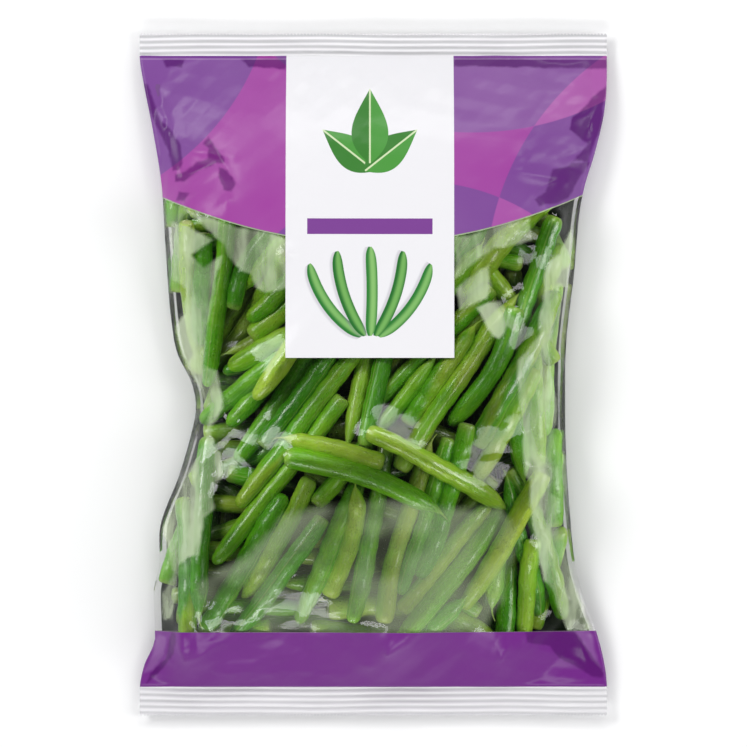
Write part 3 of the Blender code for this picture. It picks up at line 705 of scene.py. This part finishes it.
def pods_object(name, pods, seed, replaced, materials, film):
    """Makes an object of pods, and returns the points of its surface."""
    shell = bmesh.new()
    vectors = shell.verts.layers.float_vector
    layers = vectors.new("strand"), vectors.new("kind"), shell.verts.layers.float.new("depth")
    draw = np.random.default_rng(seed)
    points = np.concatenate([pod_shell(shell, pod, draw, layers, film) for pod in pods])
    bmesh.ops.recalc_face_normals(shell, faces=shell.faces)
    finished(name, shell, materials, replaced, POD_SHARP)
    return points


# The film's height over the pods, worked out on a grid of points

FIELD_X = np.arange(-106, 107) * FIELD_PITCH
FIELD_Y = np.arange(-146, 147) * FIELD_PITCH


def pile_tops(pods, surface):
    """Highest pod surface at each point of the field, or 0 where there is none."""
    tops = np.zeros((len(FIELD_Y), len(FIELD_X)))
    near = np.arange(-6, 7)
    down, right = (grid.ravel() for grid in np.meshgrid(near, near, indexing="ij"))
    for pod in pods:
        along = np.linspace(0, 1, 110)
        line, radius = pod.line(along), pod.half_width * pod_radii(along) * 1.06 * PLUMPNESS
        row = np.rint((line[:, 1] - FIELD_Y[0]) / FIELD_PITCH).astype(int)[:, None] + down
        column = np.rint((line[:, 0] - FIELD_X[0]) / FIELD_PITCH).astype(int)[:, None] + right
        inside = (row >= 0) & (row < len(FIELD_Y)) & (column >= 0) & (column < len(FIELD_X))
        row, column = np.clip(row, 0, len(FIELD_Y) - 1), np.clip(column, 0, len(FIELD_X) - 1)
        apart = np.hypot(FIELD_X[column] - line[:, :1], FIELD_Y[row] - line[:, 1:2])
        reach = radius[:, None] ** 2 - apart**2
        top = line[:, 2:] + np.sqrt(np.maximum(reach, 0))
        held = inside & (reach > 0)
        np.maximum.at(tops, (row[held], column[held]), top[held])
    row = np.clip((surface[:, 1] - FIELD_Y[0]) / FIELD_PITCH, 0, len(FIELD_Y) - 2).astype(int)
    column = np.clip((surface[:, 0] - FIELD_X[0]) / FIELD_PITCH, 0, len(FIELD_X) - 2).astype(int)
    for up, aside in ((0, 0), (0, 1), (1, 0), (1, 1)):
        np.maximum.at(tops, (row + up, column + aside), surface[:, 2])
    return tops


def stretched_film(tops):
    """Heights of a film drawn tight over the pods from the side folds and the seals."""
    x, y = np.meshgrid(FIELD_X, FIELD_Y)
    left, right = folds(y)
    free = (x > left + FIELD_PITCH / 2) & (x < right - FIELD_PITCH / 2)
    free &= (y > BODY_LOW) & (y < BODY_HIGH)
    rim = fold_height(y)
    least = np.where(free, np.where(tops > 0, tops + FILM_GAP, 0), rim)
    height = np.where(free, np.maximum(least, 30 * MM), rim)
    for _ in range(FIELD_PASSES):
        around = (
            np.roll(height, 1, 0) + np.roll(height, -1, 0)
            + np.roll(height, 1, 1) + np.roll(height, -1, 1)
        ) / 4
        height = np.where(free, np.maximum(around, least), rim)
    return height


def sampled(field, x, y):
    """Values of a field at points between its own."""
    column = np.clip((x - FIELD_X[0]) / FIELD_PITCH, 0, len(FIELD_X) - 1.001)
    row = np.clip((y - FIELD_Y[0]) / FIELD_PITCH, 0, len(FIELD_Y) - 1.001)
    c, r = column.astype(int), row.astype(int)
    dx, dy = column - c, row - r
    low = field[r, c] * (1 - dx) + field[r, c + 1] * dx
    high = field[r + 1, c] * (1 - dx) + field[r + 1, c + 1] * dx
    return low * (1 - dy) + high * dy


# Creases of the front: half width in mm, height in mm, then the line in mm
CREASES = (
    (2.6, -1.6, (-101, 131), (-94, 119), (-89, 106), (-86, 91)),
    (2.4, -1.2, (-74, 106), (-68, 96), (-60, 84)),
    (2.2, -1.3, (-68, 95), (-78, 91), (-87, 86)),
    (1.8, -0.8, (-86, 92), (-84, 84)),
    (4.2, -1.8, (103, 122), (95, 108), (92, 100)),
    (2.0, -1.2, (92, 100), (82, 96)),
    (3.4, -1.6, (88, 92), (78, 84), (72, 77)),
    (1.6, -0.9, (66, 74), (76, 62)),
    (2.0, 1.1, (-97, 112), (-80, 100), (-62, 97)),
    (2.2, 1.0, (96, 90), (80, 88), (58, 92)),
    (1.6, 0.8, (74, 80), (86, 62)),
    (1.8, 1.0, (88, 48), (72, 58)),
    (1.8, 1.0, (-90, 60), (-74, 38)),
    (1.6, -0.9, (-90, 20), (-78, -4), (-83, -24)),
    (1.6, 0.9, (-80, -6), (-60, 4)),
    (1.6, 0.9, (-78, -16), (-58, -22)),
    (1.6, 0.8, (-84, -34), (-66, -50)),
    (1.6, 0.9, (86, -12), (66, -20)),
    (1.6, 0.8, (86, -30), (68, -44)),
    (1.8, 1.0, (92, -60), (74, -84)),
    (2.2, -1.2, (-100, -132), (-92, -124), (-90, -114)),
    (2.2, -1.2, (100, -132), (94, -124), (93, -114)),
    (1.6, 0.8, (-92, -108), (-80, -96)),
    (1.6, 0.8, (92, -106), (80, -92)),
)

# Places on the front with painted shade, where the film lies flat and dark in the light; where it
# lies loose and milky;
# or where it is faintly milky: 0, 1 or 2, then the outline in mm. The milky places carry painted
# reflection as well.
MARKS = (
    (0, (-104, 131), (-101, 130), (-98, 122), (-96, 115), (-90, 109), (-86, 102), (-85, 94),
     (-87, 91), (-90, 91), (-92, 101), (-98, 112), (-101, 120)),
    (0, (-74, 107), (-71, 103), (-66, 96), (-66, 94), (-70, 94), (-78, 91), (-84, 86), (-89, 86),
     (-89, 90), (-84, 91), (-79, 95), (-74, 96), (-74, 101), (-76, 103)),
    (0, (-69, 93), (-65, 91), (-61, 85), (-63, 81), (-67, 82), (-69, 88)),
    (0, (-87, 82), (-82, 81), (-84, 77), (-88, 78)),
    (0, (-95, 142), (-84, 142), (-86, 138), (-93, 138)),
    (0, (-60, 142), (-39, 142), (-39, 137), (-56, 138)),
    (0, (36, 142), (107, 142), (107, 137), (78, 137.5), (36, 138.5)),
    (0, (106, 131), (103, 120), (104, 114), (100, 105), (96, 95), (90, 96), (91, 98), (96, 103),
     (91, 107), (88, 110), (89, 115), (96, 121), (99, 125)),
    (0, (80, 92), (87, 93), (89, 95), (97, 95), (90, 84), (88, 79), (81, 76), (74, 75), (72, 78),
     (77, 82)),
    (0, (-90, -113), (-88, -117), (-89, -125), (-95, -133), (-102, -139), (-100, -134),
     (-93, -127), (-91.5, -119)),
    (0, (68, -114), (90, -114), (103, -132), (103, -136), (99, -136), (83, -127), (79, -122),
     (69, -120)),
    (1, (-88, 76), (-78, 72), (-60, 66), (-36, 61), (-36, 39), (-48, 36), (-53, 39), (-55, 44),
     (-59, 46), (-64, 52), (-67, 58), (-70, 60), (-78, 68)),
    (1, (-91, 70), (-80, 65), (-70, 60), (-80, 53), (-76, 48), (-67, 53), (-69, 42), (-71, 31),
     (-74, 19), (-75, 4), (-69, 2), (-67, -9), (-67, -15), (-72, -24), (-72, -31), (-67, -34),
     (-66, -46), (-72, -52), (-70, -60), (-75, -64), (-77, -81), (-83, -82), (-87, -86),
     (-88, -100), (-90, -110), (-94, -110), (-95, -98), (-89, -89), (-91, -84), (-95, -69),
     (-92, -62), (-87, -49), (-76, -31), (-74, -16), (-77, -8), (-84, 4), (-88, 16), (-89, 22),
     (-85, 28), (-84, 38), (-90, 42), (-91, 60)),
    (1, (-97, -116), (-92, -117), (-93, -125), (-99, -133), (-103, -134)),
    (1, (36, 61), (53, 66), (66, 70), (70, 67), (72, 60), (66, 57), (54, 56), (46, 50), (36, 42)),
    (1, (36, 38), (46, 46), (52, 50), (53, 39), (51, 33), (46, 31), (38, 28)),
    (1, (45, 30), (51, 33), (57, 33), (59, 30), (63, 26), (67, 19), (62, 18), (60, 20), (56, 15),
     (53, 17), (49, 24)),
    (1, (76, 46), (78, 52), (83, 54), (89, 67), (90, 60), (88, 42), (89, 37), (84, 39), (83, 32),
     (81, 26), (79, 11), (80, 2), (83, -16), (81, -25), (80, -45), (79, -52), (83, -55),
     (83, -66), (86, -78), (90, -92), (99, -115), (87, -115), (83, -106), (80, -97), (76, -92),
     (73, -81), (71, -70), (69, -58), (70, -48), (67, -45), (66, -27), (65, -16), (63, -2),
     (64, 6), (74, 19), (73, 22), (75, 32)),
    (1, (90, -115), (99, -116), (100, -123), (103, -133), (98, -129)),
    (2, (-80, -92), (-57, -80), (-40, -62), (-20, -57), (8, -55), (29, -58), (45, -59), (56, -58),
     (65, -69), (65, -76), (60, -87), (59, -100), (53, -108), (49, -116), (-86, -116)),
)
UNMARKED = -4 * MM


def line_distance(x, y, points):
    """Distance of each point from a line of straight lengths, and its share of the way along."""
    nearest, share = np.full(np.shape(x), np.inf), np.zeros(np.shape(x))
    points = np.array(points, float) * MM
    steps = np.linalg.norm(np.diff(points, axis=0), axis=1)
    gone = np.concatenate([[0], np.cumsum(steps)])
    for start, end, step, before in zip(points, points[1:], steps, gone):
        run = (end - start) / step
        t = np.clip((x - start[0]) * run[0] + (y - start[1]) * run[1], 0, step)
        apart = np.hypot(x - start[0] - t * run[0], y - start[1] - t * run[1])
        closer = apart < nearest
        nearest = np.where(closer, apart, nearest)
        share = np.where(closer, (before + t) / gone[-1], share)
    return nearest, share


def creased(x, y):
    """Height that the creases add to the film."""
    height = np.zeros_like(x)
    for half_width, rise, *points in CREASES:
        apart, share = line_distance(x, y, points)
        ends = np.sin(np.clip(share, 0.08, 0.92) * math.pi)
        height += rise * MM * np.exp(-np.abs(apart / (half_width * MM)) ** 1.5) * ends
    return height


def marked(x, y):
    """How far each point is inside the nearest mark of each kind, or outside it if negative."""
    inside = np.full((*x.shape, 3), UNMARKED)
    for kind, *points in MARKS:
        apart, _ = line_distance(x, y, [*points, points[0]])
        held = np.zeros(x.shape, bool)
        for (ax, ay), (bx, by) in zip(points, [*points[1:], points[0]]):
            crossed = (y > ay * MM) != (y > by * MM)
            held ^= crossed & (x < ax * MM + (y - ay * MM) * (bx - ax) / (by - ay or 1))
        depth = np.where(held, apart, -apart)
        inside[..., kind] = np.maximum(inside[..., kind], np.minimum(depth, -UNMARKED))
    return inside


def crumpled(x, y, seed, pitch):
    """Facets of a crumpled film, from -1 to 1: straight waves that cross at many angles."""
    draw = np.random.default_rng(seed)
    total = np.zeros_like(x)
    for _ in range(7):
        angle, phase = draw.uniform(0, math.pi), draw.uniform(0, 1)
        size = pitch * draw.uniform(0.7, 1.9)
        bend = draw.uniform(0.15, 0.5)
        bend = bend * np.sin((x * draw.uniform(-1, 1) + y * draw.uniform(-1, 1)) / size)
        wave = (x * math.cos(angle) + y * math.sin(angle)) / size + phase + bend
        total += 4 * np.abs(wave % 1 - 0.5) - 1
    return total / 3.5


def seal_wave(x, y):
    """The slow lift and fall of a seal along its length."""
    top = np.sin(x / (31 * MM) + 0.6) + 0.5 * np.sin(x / (13 * MM) + 2)
    low = np.sin(x / (27 * MM) + 2.4) + 0.5 * np.sin(x / (15 * MM) + 1)
    return 0.45 * MM * np.where(y > 0, top, low) * np.abs(along_body(y)) ** 6


def film_plan(coarseness):
    """x and y of the film's points, and how far out to the sides they are."""
    even = np.linspace(-1, 1, FILM_COLUMNS // coarseness + 1)
    spread = even * 0.9 + 0.1 * np.sin(even * math.pi / 2)
    rows = np.linspace(BODY_LOW, BODY_HIGH, FILM_ROWS // coarseness + 1)
    left, right = folds(rows)
    x = (left + right)[:, None] / 2 + (right - left)[:, None] / 2 * spread
    return x, np.repeat(rows[:, None], len(even), axis=1), np.abs(spread)


def rimmed(x, y, z, out, lift):
    """Film heights with the rim brought to the side folds and the seals."""
    rim = (out > 0.9999) | (np.abs(along_body(y)) > 0.9999)
    return np.where(rim, fold_height(y) + lift, z) + seal_wave(x, y)


def margins(out, ends):
    """0 at the film's rim to 1 inside it, and 0 in its middle to 1 near its edges."""
    inner = np.clip((1 - out) / 0.05, 0, 1) * np.clip((1 - ends) / 0.03, 0, 1)
    edge = np.clip((out - 0.62) / 0.3, 0, 1) + np.clip((ends - 0.72) / 0.2, 0, 1)
    return inner, np.minimum(edge, 1)


def film_back():
    """Points of the back of the bag."""
    x, y, out = film_plan(BACK_COARSENESS)
    inner, edge = margins(out, np.abs(along_body(y)))
    crumple = np.abs(crumpled(x, y, BACK_CRUMPLE_SEED, 17 * MM)) * 0.6 * MM * edge * inner
    back = np.maximum(back_height(x, y) + 0.45 * MM + crumple, 0.4 * MM)
    return x, y, rimmed(x, y, back, out, -RIM_LIFT)


def film_front(pods, surface):
    """Points of the front, drawn over the pods, with its creases and pleats."""
    x, y, out = film_plan(1)
    tops = pile_tops(pods, surface)
    taut = stretched_film(tops)
    smooth = sampled(taut, x, y)
    loose = np.clip((smooth - sampled(tops, x, y) - FILM_GAP) / (3 * MM), 0, 1)
    ends = np.abs(along_body(y))
    inner, edge = margins(out, ends)
    facets = crumpled(x, y, FRONT_CRUMPLE_SEED, 15 * MM) * (0.22 + 0.6 * edge) * MM
    pleats = np.sin(x / (4.2 * MM) + 2 * np.sin(x / (23 * MM))) * 0.45 * MM
    pleats = pleats * np.clip((ends - 0.84) / 0.12, 0, 1)
    front = smooth + inner * ((creased(x, y) + facets) * (0.25 + 0.75 * loose) + pleats)
    front = np.maximum(front, sampled(tops, x, y) + 0.2 * MM)
    front = np.maximum(front, back_height(x, y) + 0.9 * MM)
    return x, y, rimmed(x, y, front, out, RIM_LIFT)


def laid_grid(shell, x, y, z, layer, marks):
    """A grid of faces through points, each with its own marks."""
    rows, columns = x.shape
    segments = {"x_segments": columns - 1, "y_segments": rows - 1}
    made = bmesh.ops.create_grid(shell, size=1, **segments)["verts"]
    places = np.stack([x, y, z], axis=2).reshape(-1, 3)
    marks = np.broadcast_to(marks, (rows, columns, 3)).reshape(-1, 3)
    for vertex, place, mark in zip(made, places, marks):
        vertex.co = place
        vertex[layer] = mark


def two_sheets(front, back, front_marks, back_marks, back_index=0):
    """A closed shell: the front, and the back facing down, joined all round."""
    shell = bmesh.new()
    layer = shell.verts.layers.float_vector.new("marks")
    laid_grid(shell, *front, layer, front_marks)
    front_rim = [e for e in shell.edges if e.is_boundary]
    before = set(shell.faces)
    laid_grid(shell, *back, layer, back_marks)
    rear = [f for f in shell.faces if f not in before]
    for face in rear:
        face.material_index = back_index
    bmesh.ops.reverse_faces(shell, faces=rear)
    back_rim = [e for f in rear for e in f.edges if e.is_boundary]
    bmesh.ops.bridge_loops(shell, edges=front_rim + back_rim)
    return shell


def film_finish(name, front):
    """Clear film with a printed head and foot, and a panel printed on it, with painted shade and
    painted reflection; on the back a near-black green print stands in for shade.
    """
    finish = Finish(name)
    place = finish.node("TexCoord", (), (), out=3)
    x, y, _ = finish.parts(place)
    flat, milky_sheen, faint = finish.parts(finish.attribute("marks"))
    broad = finish.noise(place, 24, 2)
    wavy = (finish.noise(place, 110, 2) - 0.5) * (3 * MM)
    rough = (finish.noise(place, 300, 2) - 0.5) * (1.2 * MM)
    # Painted shade: darker facets of the print inside the marks of kind 0, and on the back over the
    # head and foot inside the margin.
    painted_shade = finish.step(flat + rough + wavy * 0.5, -0.6 * MM, 0.9 * MM) * (0.75 + 0.5 * broad)
    milky_sheen = finish.step(milky_sheen + wavy, -0.5 * MM, 1.6 * MM)
    from_middle = x - PRINT_MIDDLE
    below_arc = ARC_LOW + from_middle * from_middle * ARC_BEND - y
    head = finish.step(below_arc, 0.12 * MM, -0.12 * MM)
    foot = finish.step(y, FOOT_TOP + 0.1 * MM, FOOT_TOP - 0.1 * MM)
    ends = finish.maths("MAXIMUM", head, foot)
    # Painted reflection: a pale lilac sheen over the print, weaker in the painted shade and on the
    # foot, stronger where the film is milky; it is taken off along the top edge, and a pale line is
    # painted just below that.
    painted_sheen = 0.12 * broad * (1 - painted_shade) * (1 - 0.8 * foot) + 0.09 * milky_sheen
    top_line = finish.step(abs(y - 142.9 * MM), 0.9 * MM, 0.6 * MM)
    pale_line = finish.step(abs(y - 141.7 * MM), 0.45 * MM, 0.15 * MM)
    painted_sheen = painted_sheen * (1 - top_line) + 0.14 * pale_line
    colour = finish.mix(foot, purple_print(finish, x, y), ink("6F2083"))
    # Painted shade: deep violet mixed into the print.
    colour = finish.mix(painted_shade * 0.6, colour, ink("48085A"))
    colour = finish.mix(painted_sheen, colour, ink("EED2F4"))
    if front:
        panel = finish.step(abs(from_middle), PANEL_HALF + 0.1 * MM, PANEL_HALF - 0.05 * MM)
        panel = panel * finish.step(y, PANEL_LOW - 0.1 * MM, PANEL_LOW + 0.1 * MM)
        printed = panel_print(finish, x, y)
        # Milky places on the clear film: partly the film's own milkiness, partly painted reflection
        # of the lights, in streaks and patches.
        sheen_streak_noise = finish.noise(finish.stretched(place, (90, 24, 60)), 1, 3, 0.6)
        streaks = finish.step(sheen_streak_noise, 0.36, 0.66)
        haze_and_sheen = finish.step(broad, 0.42, 0.6) * 0.15 + 0.04
        faint = finish.step(faint + wavy, -1.5 * MM, 4 * MM)
        milk_and_sheen = finish.maths("MAXIMUM", milky_sheen * (0.16 + 0.32 * streaks), faint * haze_and_sheen)
        # Painted reflection: a pale line along the lower edge of the head print.
        edge = finish.step(abs(below_arc - 0.3 * MM), 0.3 * MM, 0.15 * MM)
        milk_and_sheen = finish.maths("MAXIMUM", milk_and_sheen, 0.45 * edge)
        inked = finish.maths("MAXIMUM", ends, panel)
    else:
        panel = 1.0
        for at, middle, half in zip((x, y), BACK_PANEL, BACK_PANEL_HALF):
            panel = panel * finish.step(abs(at - middle), half + 0.1 * MM, half - 0.1 * MM)
        printed, milk_and_sheen = back_panel_print(finish, x, y), 0.04
        # Painted shade: the back is printed near-black green inside its margin, a dark sheet that
        # stands in for the shade seen through the gaps between the pods.
        inked = finish.maths("MAXIMUM", ends, finish.step(flat, 0.0, 0.3 * MM))
        colour = finish.mix(ends, ink("12250C"), colour)
    # The pale green-white of the clear film where it is milky: the film's milkiness with painted
    # reflection on it.
    colour = finish.mix(inked, ink("E6F6CE"), colour)
    colour = finish.mix(panel, colour, printed)
    normal = finish.bump(finish.noise(place, 140, 3), 0.5 * MM, 0.12)
    values = {
        "Base Color": colour,
        "Roughness": 0.32,
        "Specular IOR Level": 0.26,
        "Normal": normal,
    }
    body = finish.node("BsdfPrincipled", (), values)
    gloss = finish.node("BsdfGlossy", (), {"Roughness": 0.09, "Normal": normal})
    clear = finish.node("BsdfTransparent")
    fresnel = finish.node("Fresnel", (), {"IOR": 1.5, "Normal": normal})
    film = finish.node("MixShader", (), {0: fresnel * 0.95, 1: clear, 2: gloss})
    covered = finish.maths("MAXIMUM", inked, milk_and_sheen)
    return finish.show(finish.node("MixShader", (), {0: covered, 1: film, 2: body}))


# Discs where the print turns from violet to magenta or back: centre and radius in mm
TONE_DISCS = ((-150, 178, 104), (44, 236, 128), (176, 40, 126), (-196, 40, 108), (20, -10, 96))

# Half length and half width of the pods drawn on the panel, in mm
DRAWN_HALF = 20
DRAWN_WIDTH = 2.5


def purple_print(finish, x, y):
    """Violet and magenta in large shapes with curved edges."""
    magenta, paler = 0.0, 0.0
    for index, (centre_x, centre_y, radius) in enumerate(TONE_DISCS):
        across, up = x - centre_x * MM, y - centre_y * MM
        out = (across * across + up * up) ** 0.5
        side = finish.step(out, (radius + 0.3) * MM, (radius - 0.3) * MM)
        magenta = abs(side - magenta)
        paler = side * (0.08 if index % 2 else 0.03) + paler
    colour = finish.mix(magenta, ink("982F95"), ink("6A2888"))
    return finish.mix(paler, colour, ink("F0BCE6"))


def turned(x, y, middle, lean, half):
    """Shares along a leaning shape of this half length, and places across it."""
    across, up = x - middle[0] * MM, y - middle[1] * MM
    along = (across * math.sin(lean) + up * math.cos(lean)) / (half * MM)
    return along, across * math.cos(lean) - up * math.sin(lean)


def drawn_pod(finish, x, y, colour, middle, lean, bow, tones):
    """A printed pod on a colour: a soft shadow, a dark edge and a light middle."""
    along, aside = turned(x, y, middle, lean, DRAWN_HALF)
    aside = aside - (1 - along * along) * (bow * MM)
    narrow = DRAWN_WIDTH * MM * (1 - 0.75 * abs(along) ** 8)
    ends = finish.step(abs(along), 1.0, 0.985)
    shadow = finish.step(abs(aside + 0.9 * MM) - narrow, 1.0 * MM, -0.3 * MM) * ends
    colour = finish.mix(shadow * 0.35, colour, ink("8E8A96"))
    inside = finish.step(abs(aside) - narrow, 0.1 * MM, -0.1 * MM) * ends
    light = finish.step(abs(aside - 0.5 * MM) / narrow, 0.9, 0.1)
    return finish.mix(inside, colour, finish.mix(light, ink(tones[0]), ink(tones[1])))


def panel_print(finish, x, y):
    """A white panel with a leafy sprig, a plain purple strip and a fan of pods."""
    colour = ink("EAE9EC")
    strip = finish.step(abs(y - 66 * MM), 3.6 * MM, 3.4 * MM)
    strip = strip * finish.step(abs(x - PRINT_MIDDLE), 28 * MM, 27.8 * MM)
    colour = finish.mix(strip, colour, ink("7C4492"))
    for *middle, lean, size in ((-11, 100, -0.9, 15), (8, 100, 0.9, 15), (-1.5, 111, 0, 17)):
        along, aside = turned(x, y, middle, lean, size)
        edge = (1 - along * along) * (1.1 - 0.5 * along) * (0.42 * size * MM)
        leaf = finish.step(abs(aside) - edge, 0.1 * MM, -0.1 * MM)
        leaf = leaf * finish.step(abs(along), 1.0, 0.99)
        vein = finish.step(abs(aside), 0.5 * MM, 0.3 * MM)
        half = finish.step(aside, -0.1 * MM, 0.1 * MM)
        green = finish.mix(half, ink("3F7F36"), ink("4F9742"))
        colour = finish.mix(leaf, colour, finish.mix(vein, green, ink("CFE0B4")))
    for middle, lean, bow, tones in (
        ((-17, 33), -0.62, -4, ("2F7A35", "7FB667")), ((14, 33), 0.62, 4, ("2F7A35", "7FB667")),
        ((-10, 36), -0.32, -3, ("2A6F30", "74AE5C")), ((7, 36), 0.32, 3, ("2A6F30", "74AE5C")),
        ((-1.5, 37), 0, 1, ("347F38", "88BD6E")),
    ):
        colour = drawn_pod(finish, x, y, colour, middle, lean, bow, tones)
    return colour


def back_panel_print(finish, x, y):
    """A white panel with a few plain purple bars."""
    bars = finish.step(abs(y - 80 * MM), 3.2 * MM, 3 * MM)
    for low in (62, 54, 46, 38, 30):
        bars = finish.maths("MAXIMUM", bars, finish.step(abs(y - low * MM), 0.7 * MM, 0.5 * MM))
    bars = bars * finish.step(abs(x - BACK_PANEL[0]), 14 * MM, 13.8 * MM)
    return finish.mix(bars, ink("E6E5E8"), ink("7C4492"))


def seal_finish():
    """Grey-white pressed film with faint crosswise marks, paler on its rib crests: painted light and
    shade of the ribs, with the pressed film whiter there too.
    """
    finish = Finish("seal_film")
    place = finish.node("TexCoord", (), (), out=3)
    ribs = finish.parts(finish.attribute("marks"))[0] / MM
    marks = finish.noise(finish.stretched(place, (30, 500, 30)), 1, 3)
    fine = finish.noise(place, 600, 2)
    values = {
        "Base Color": finish.mix(ribs + (marks - 0.5) * 0.6, ink("C6C5C8"), ink("FBFAFC")),
        "Roughness": 0.28 + fine * 0.15,
        "Coat Weight": 0.3,
        "Coat Roughness": 0.15,
        "Alpha": 0.93,
        "Normal": finish.bump(fine, 0.1 * MM, 0.4),
    }
    return finish.show(finish.node("BsdfPrincipled", (), values))


def seal_strip(name, low, high, ribs, rise, outward, material):
    """A pressed seal with ribs across it and a zigzag cut edge."""
    columns = np.arange(-BAG_WIDTH / 2, BAG_WIDTH / 2 + 1e-9, TOOTH_PITCH / 4)
    share = np.linspace(0, 1, ribs * 8 + 1)
    x, down = np.meshgrid(columns, share)
    tooth = np.abs(2 * ((x / TOOTH_PITCH) % 1) - 1) * TOOTH_DEPTH
    inner = low if outward > 0 else high
    out = down * (high - low) - tooth * np.clip(down / 0.2 - 4, 0, 1)
    y = inner + outward * out
    sway = 0.25 * MM * np.sin(x / (24 * MM)) + 0.12 * MM * np.sin(x / (9 * MM) + 1)
    press = np.cos(2 * math.pi * ((out + sway) / (high - low) * ribs))
    z = SEAL_Z + seal_wave(x, np.sign(y) * BODY_HALF + BODY_MIDDLE) + rise * press
    z = z + 0.5 * MM * np.sin(x / (40 * MM) + ribs) * down
    # The ribs' paleness for the seal's colour: painted light on the crests and painted shade between
    # them, with the pressed film whiter on the crests too.
    pale = (0.5 * MM + 3.1 * rise * ((0.5 + 0.5 * press) ** 1.5 - 0.5))[..., None]
    shell = two_sheets((x, y, z + 0.12 * MM), (x, y, z - 0.12 * MM), pale, pale)
    finished(name, shell, [material], "bag_film", SEAL_SHARP)


def fin_seam(material):
    """The lengthwise seam of the back: a narrow flap that lies flat under the bag."""
    rows = np.linspace(-BAG_LENGTH / 2 + 1.5 * MM, BAG_LENGTH / 2 - 1.5 * MM, 200)
    across = np.linspace(-1, 1, 13)
    x, y = np.meshgrid(across, rows)
    x = FIN_MIDDLE + x * FIN_HALF + 0.3 * MM * np.sin(y / (17 * MM))
    under = np.maximum(back_height(x, np.clip(y, BODY_LOW, BODY_HIGH)), 0)
    crimp = 0.05 * MM * np.sin(y / (0.9 * MM))
    ends = np.clip((np.abs(along_body(y)) - 0.93) / 0.06, 0, 1)
    z = under + ends * (seal_wave(x, y) - 0.9 * MM) + 0.15 * MM + crimp
    shell = two_sheets((x, y, z + RIM_LIFT), (x, y, z - RIM_LIFT), UNMARKED, UNMARKED)
    finished("fin_seam", shell, [material], "bag_film", SEAL_SHARP)


def build_bag():
    materials = [pod_skin(), cut_face()]
    names = sorted(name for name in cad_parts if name.startswith("bean_"))
    packed = [packed_pod(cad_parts[name]) for name in names]
    back, loose = back_pods(), loose_pods()
    pods = packed + back + loose
    film = stretched_film(pile_tops(pods, np.zeros((0, 3))))
    jobs = [
        (name.replace("bean", "pod"), [pod], PACKED_SEED + index, name)
        for index, (name, pod) in enumerate(zip(names, packed))
    ]
    jobs.append(("back_pods", back, LOWEST_SEED, "back_beans"))
    for index, pod in enumerate(loose):
        jobs.append((f"pod_{len(packed) + 1 + index}", [pod], LOOSE_SEED + index, None))
    points = [pods_object(*job, materials, film) for job in jobs]
    rear = film_back()
    left, right = folds(rear[1])
    inside = np.minimum(rear[0] - left, right - rear[0]) - BACK_MARGIN
    face = film_front(pods, np.concatenate(points))
    shell = two_sheets(face, rear, marked(*face[:2]), inside[..., None], back_index=1)
    films = [film_finish("printed_film", True), film_finish("back_film", False)]
    finished("film_body", shell, films, "bag_film", FILM_SHARP)
    seal = seal_finish()
    edge = BAG_LENGTH / 2
    top, bottom = (BODY_HIGH - SEAL_OVERLAP, edge), (-edge, BODY_LOW + SEAL_OVERLAP)
    seal_strip("top_seal", *top, TOP_RIBS, TOP_RIB_RISE, 1, seal)
    seal_strip("bottom_seal", *bottom, BOTTOM_RIBS, BOTTOM_RIB_RISE, -1, seal)
    fin_seam(seal)


# Softboxes: place, width and height in metres, and power in watts
SOFTBOXES = {
    "key": ((-0.8, 0.55, 0.95), 0.8, 0.4, 8.5),
    "fill": ((0.95, -0.1, 0.85), 0.4, 0.9, 6),
    "top": ((0.2, 1.0, 1.0), 1.0, 0.25, 5),
    "low": ((-0.2, -1.1, 0.9), 1.2, 0.3, 8),
}
LIT_POINT = (0, 0, 20 * MM)
FLOOR_HALF = 30


def softbox(name, place, width, height, power):
    lamp = bpy.data.lights.new(name, "AREA")
    lamp.shape, lamp.size, lamp.size_y = "RECTANGLE", width, height
    lamp.energy = power
    made = bpy.data.objects.new(name, lamp)
    made.location = place
    made.rotation_mode = "QUATERNION"
    made.rotation_quaternion = (Vector(LIT_POINT) - Vector(place)).to_track_quat("-Z", "Y")
    made.visible_camera = False
    bpy.context.scene.collection.objects.link(made)


def studio():
    finish = Finish("floor")
    values = {"Base Color": (0.96, 0.96, 0.96, 1), "Roughness": 0.9}
    shell = bmesh.new()
    bmesh.ops.create_grid(shell, x_segments=1, y_segments=1, size=FLOOR_HALF)
    mesh = bpy.data.meshes.new("floor")
    shell.to_mesh(mesh)
    shell.free()
    mesh.materials.append(finish.show(finish.node("BsdfPrincipled", (), values)))
    floor = bpy.data.objects.new("floor", mesh)
    bpy.context.scene.collection.objects.link(floor)

    sky = Finish("studio", world=True)
    _, _, up = sky.parts(sky.node("TexCoord", (), (), out=0))
    pale = sky.mix(sky.step(up, 0.1, 0.7), (0.88, 0.89, 0.91, 1), (0.05, 0.05, 0.055, 1))
    light = sky.node("Background", (), {"Color": pale, "Strength": 1.0})
    bpy.context.scene.world = sky.show(light, "OutputWorld")
    for name, settings in SOFTBOXES.items():
        softbox(name, *settings)
    bpy.context.scene.view_settings.view_transform = "Standard"


VIEW_WIDTH = 334.9 * MM
LENS = 300
SENSOR = 36
CENTRE = (0.1 * MM, 0.45 * MM)
SHARP_PLANE = 12 * MM


def photograph():
    lens = bpy.data.cameras.new("camera")
    lens.lens, lens.sensor_width = LENS, SENSOR
    lens.clip_end = 100
    camera = bpy.data.objects.new("camera", lens)
    camera.location = (*CENTRE, SHARP_PLANE + VIEW_WIDTH * LENS / SENSOR)
    bpy.context.scene.collection.objects.link(camera)
    bpy.context.scene.camera = camera


build_bag()
studio()
photograph()
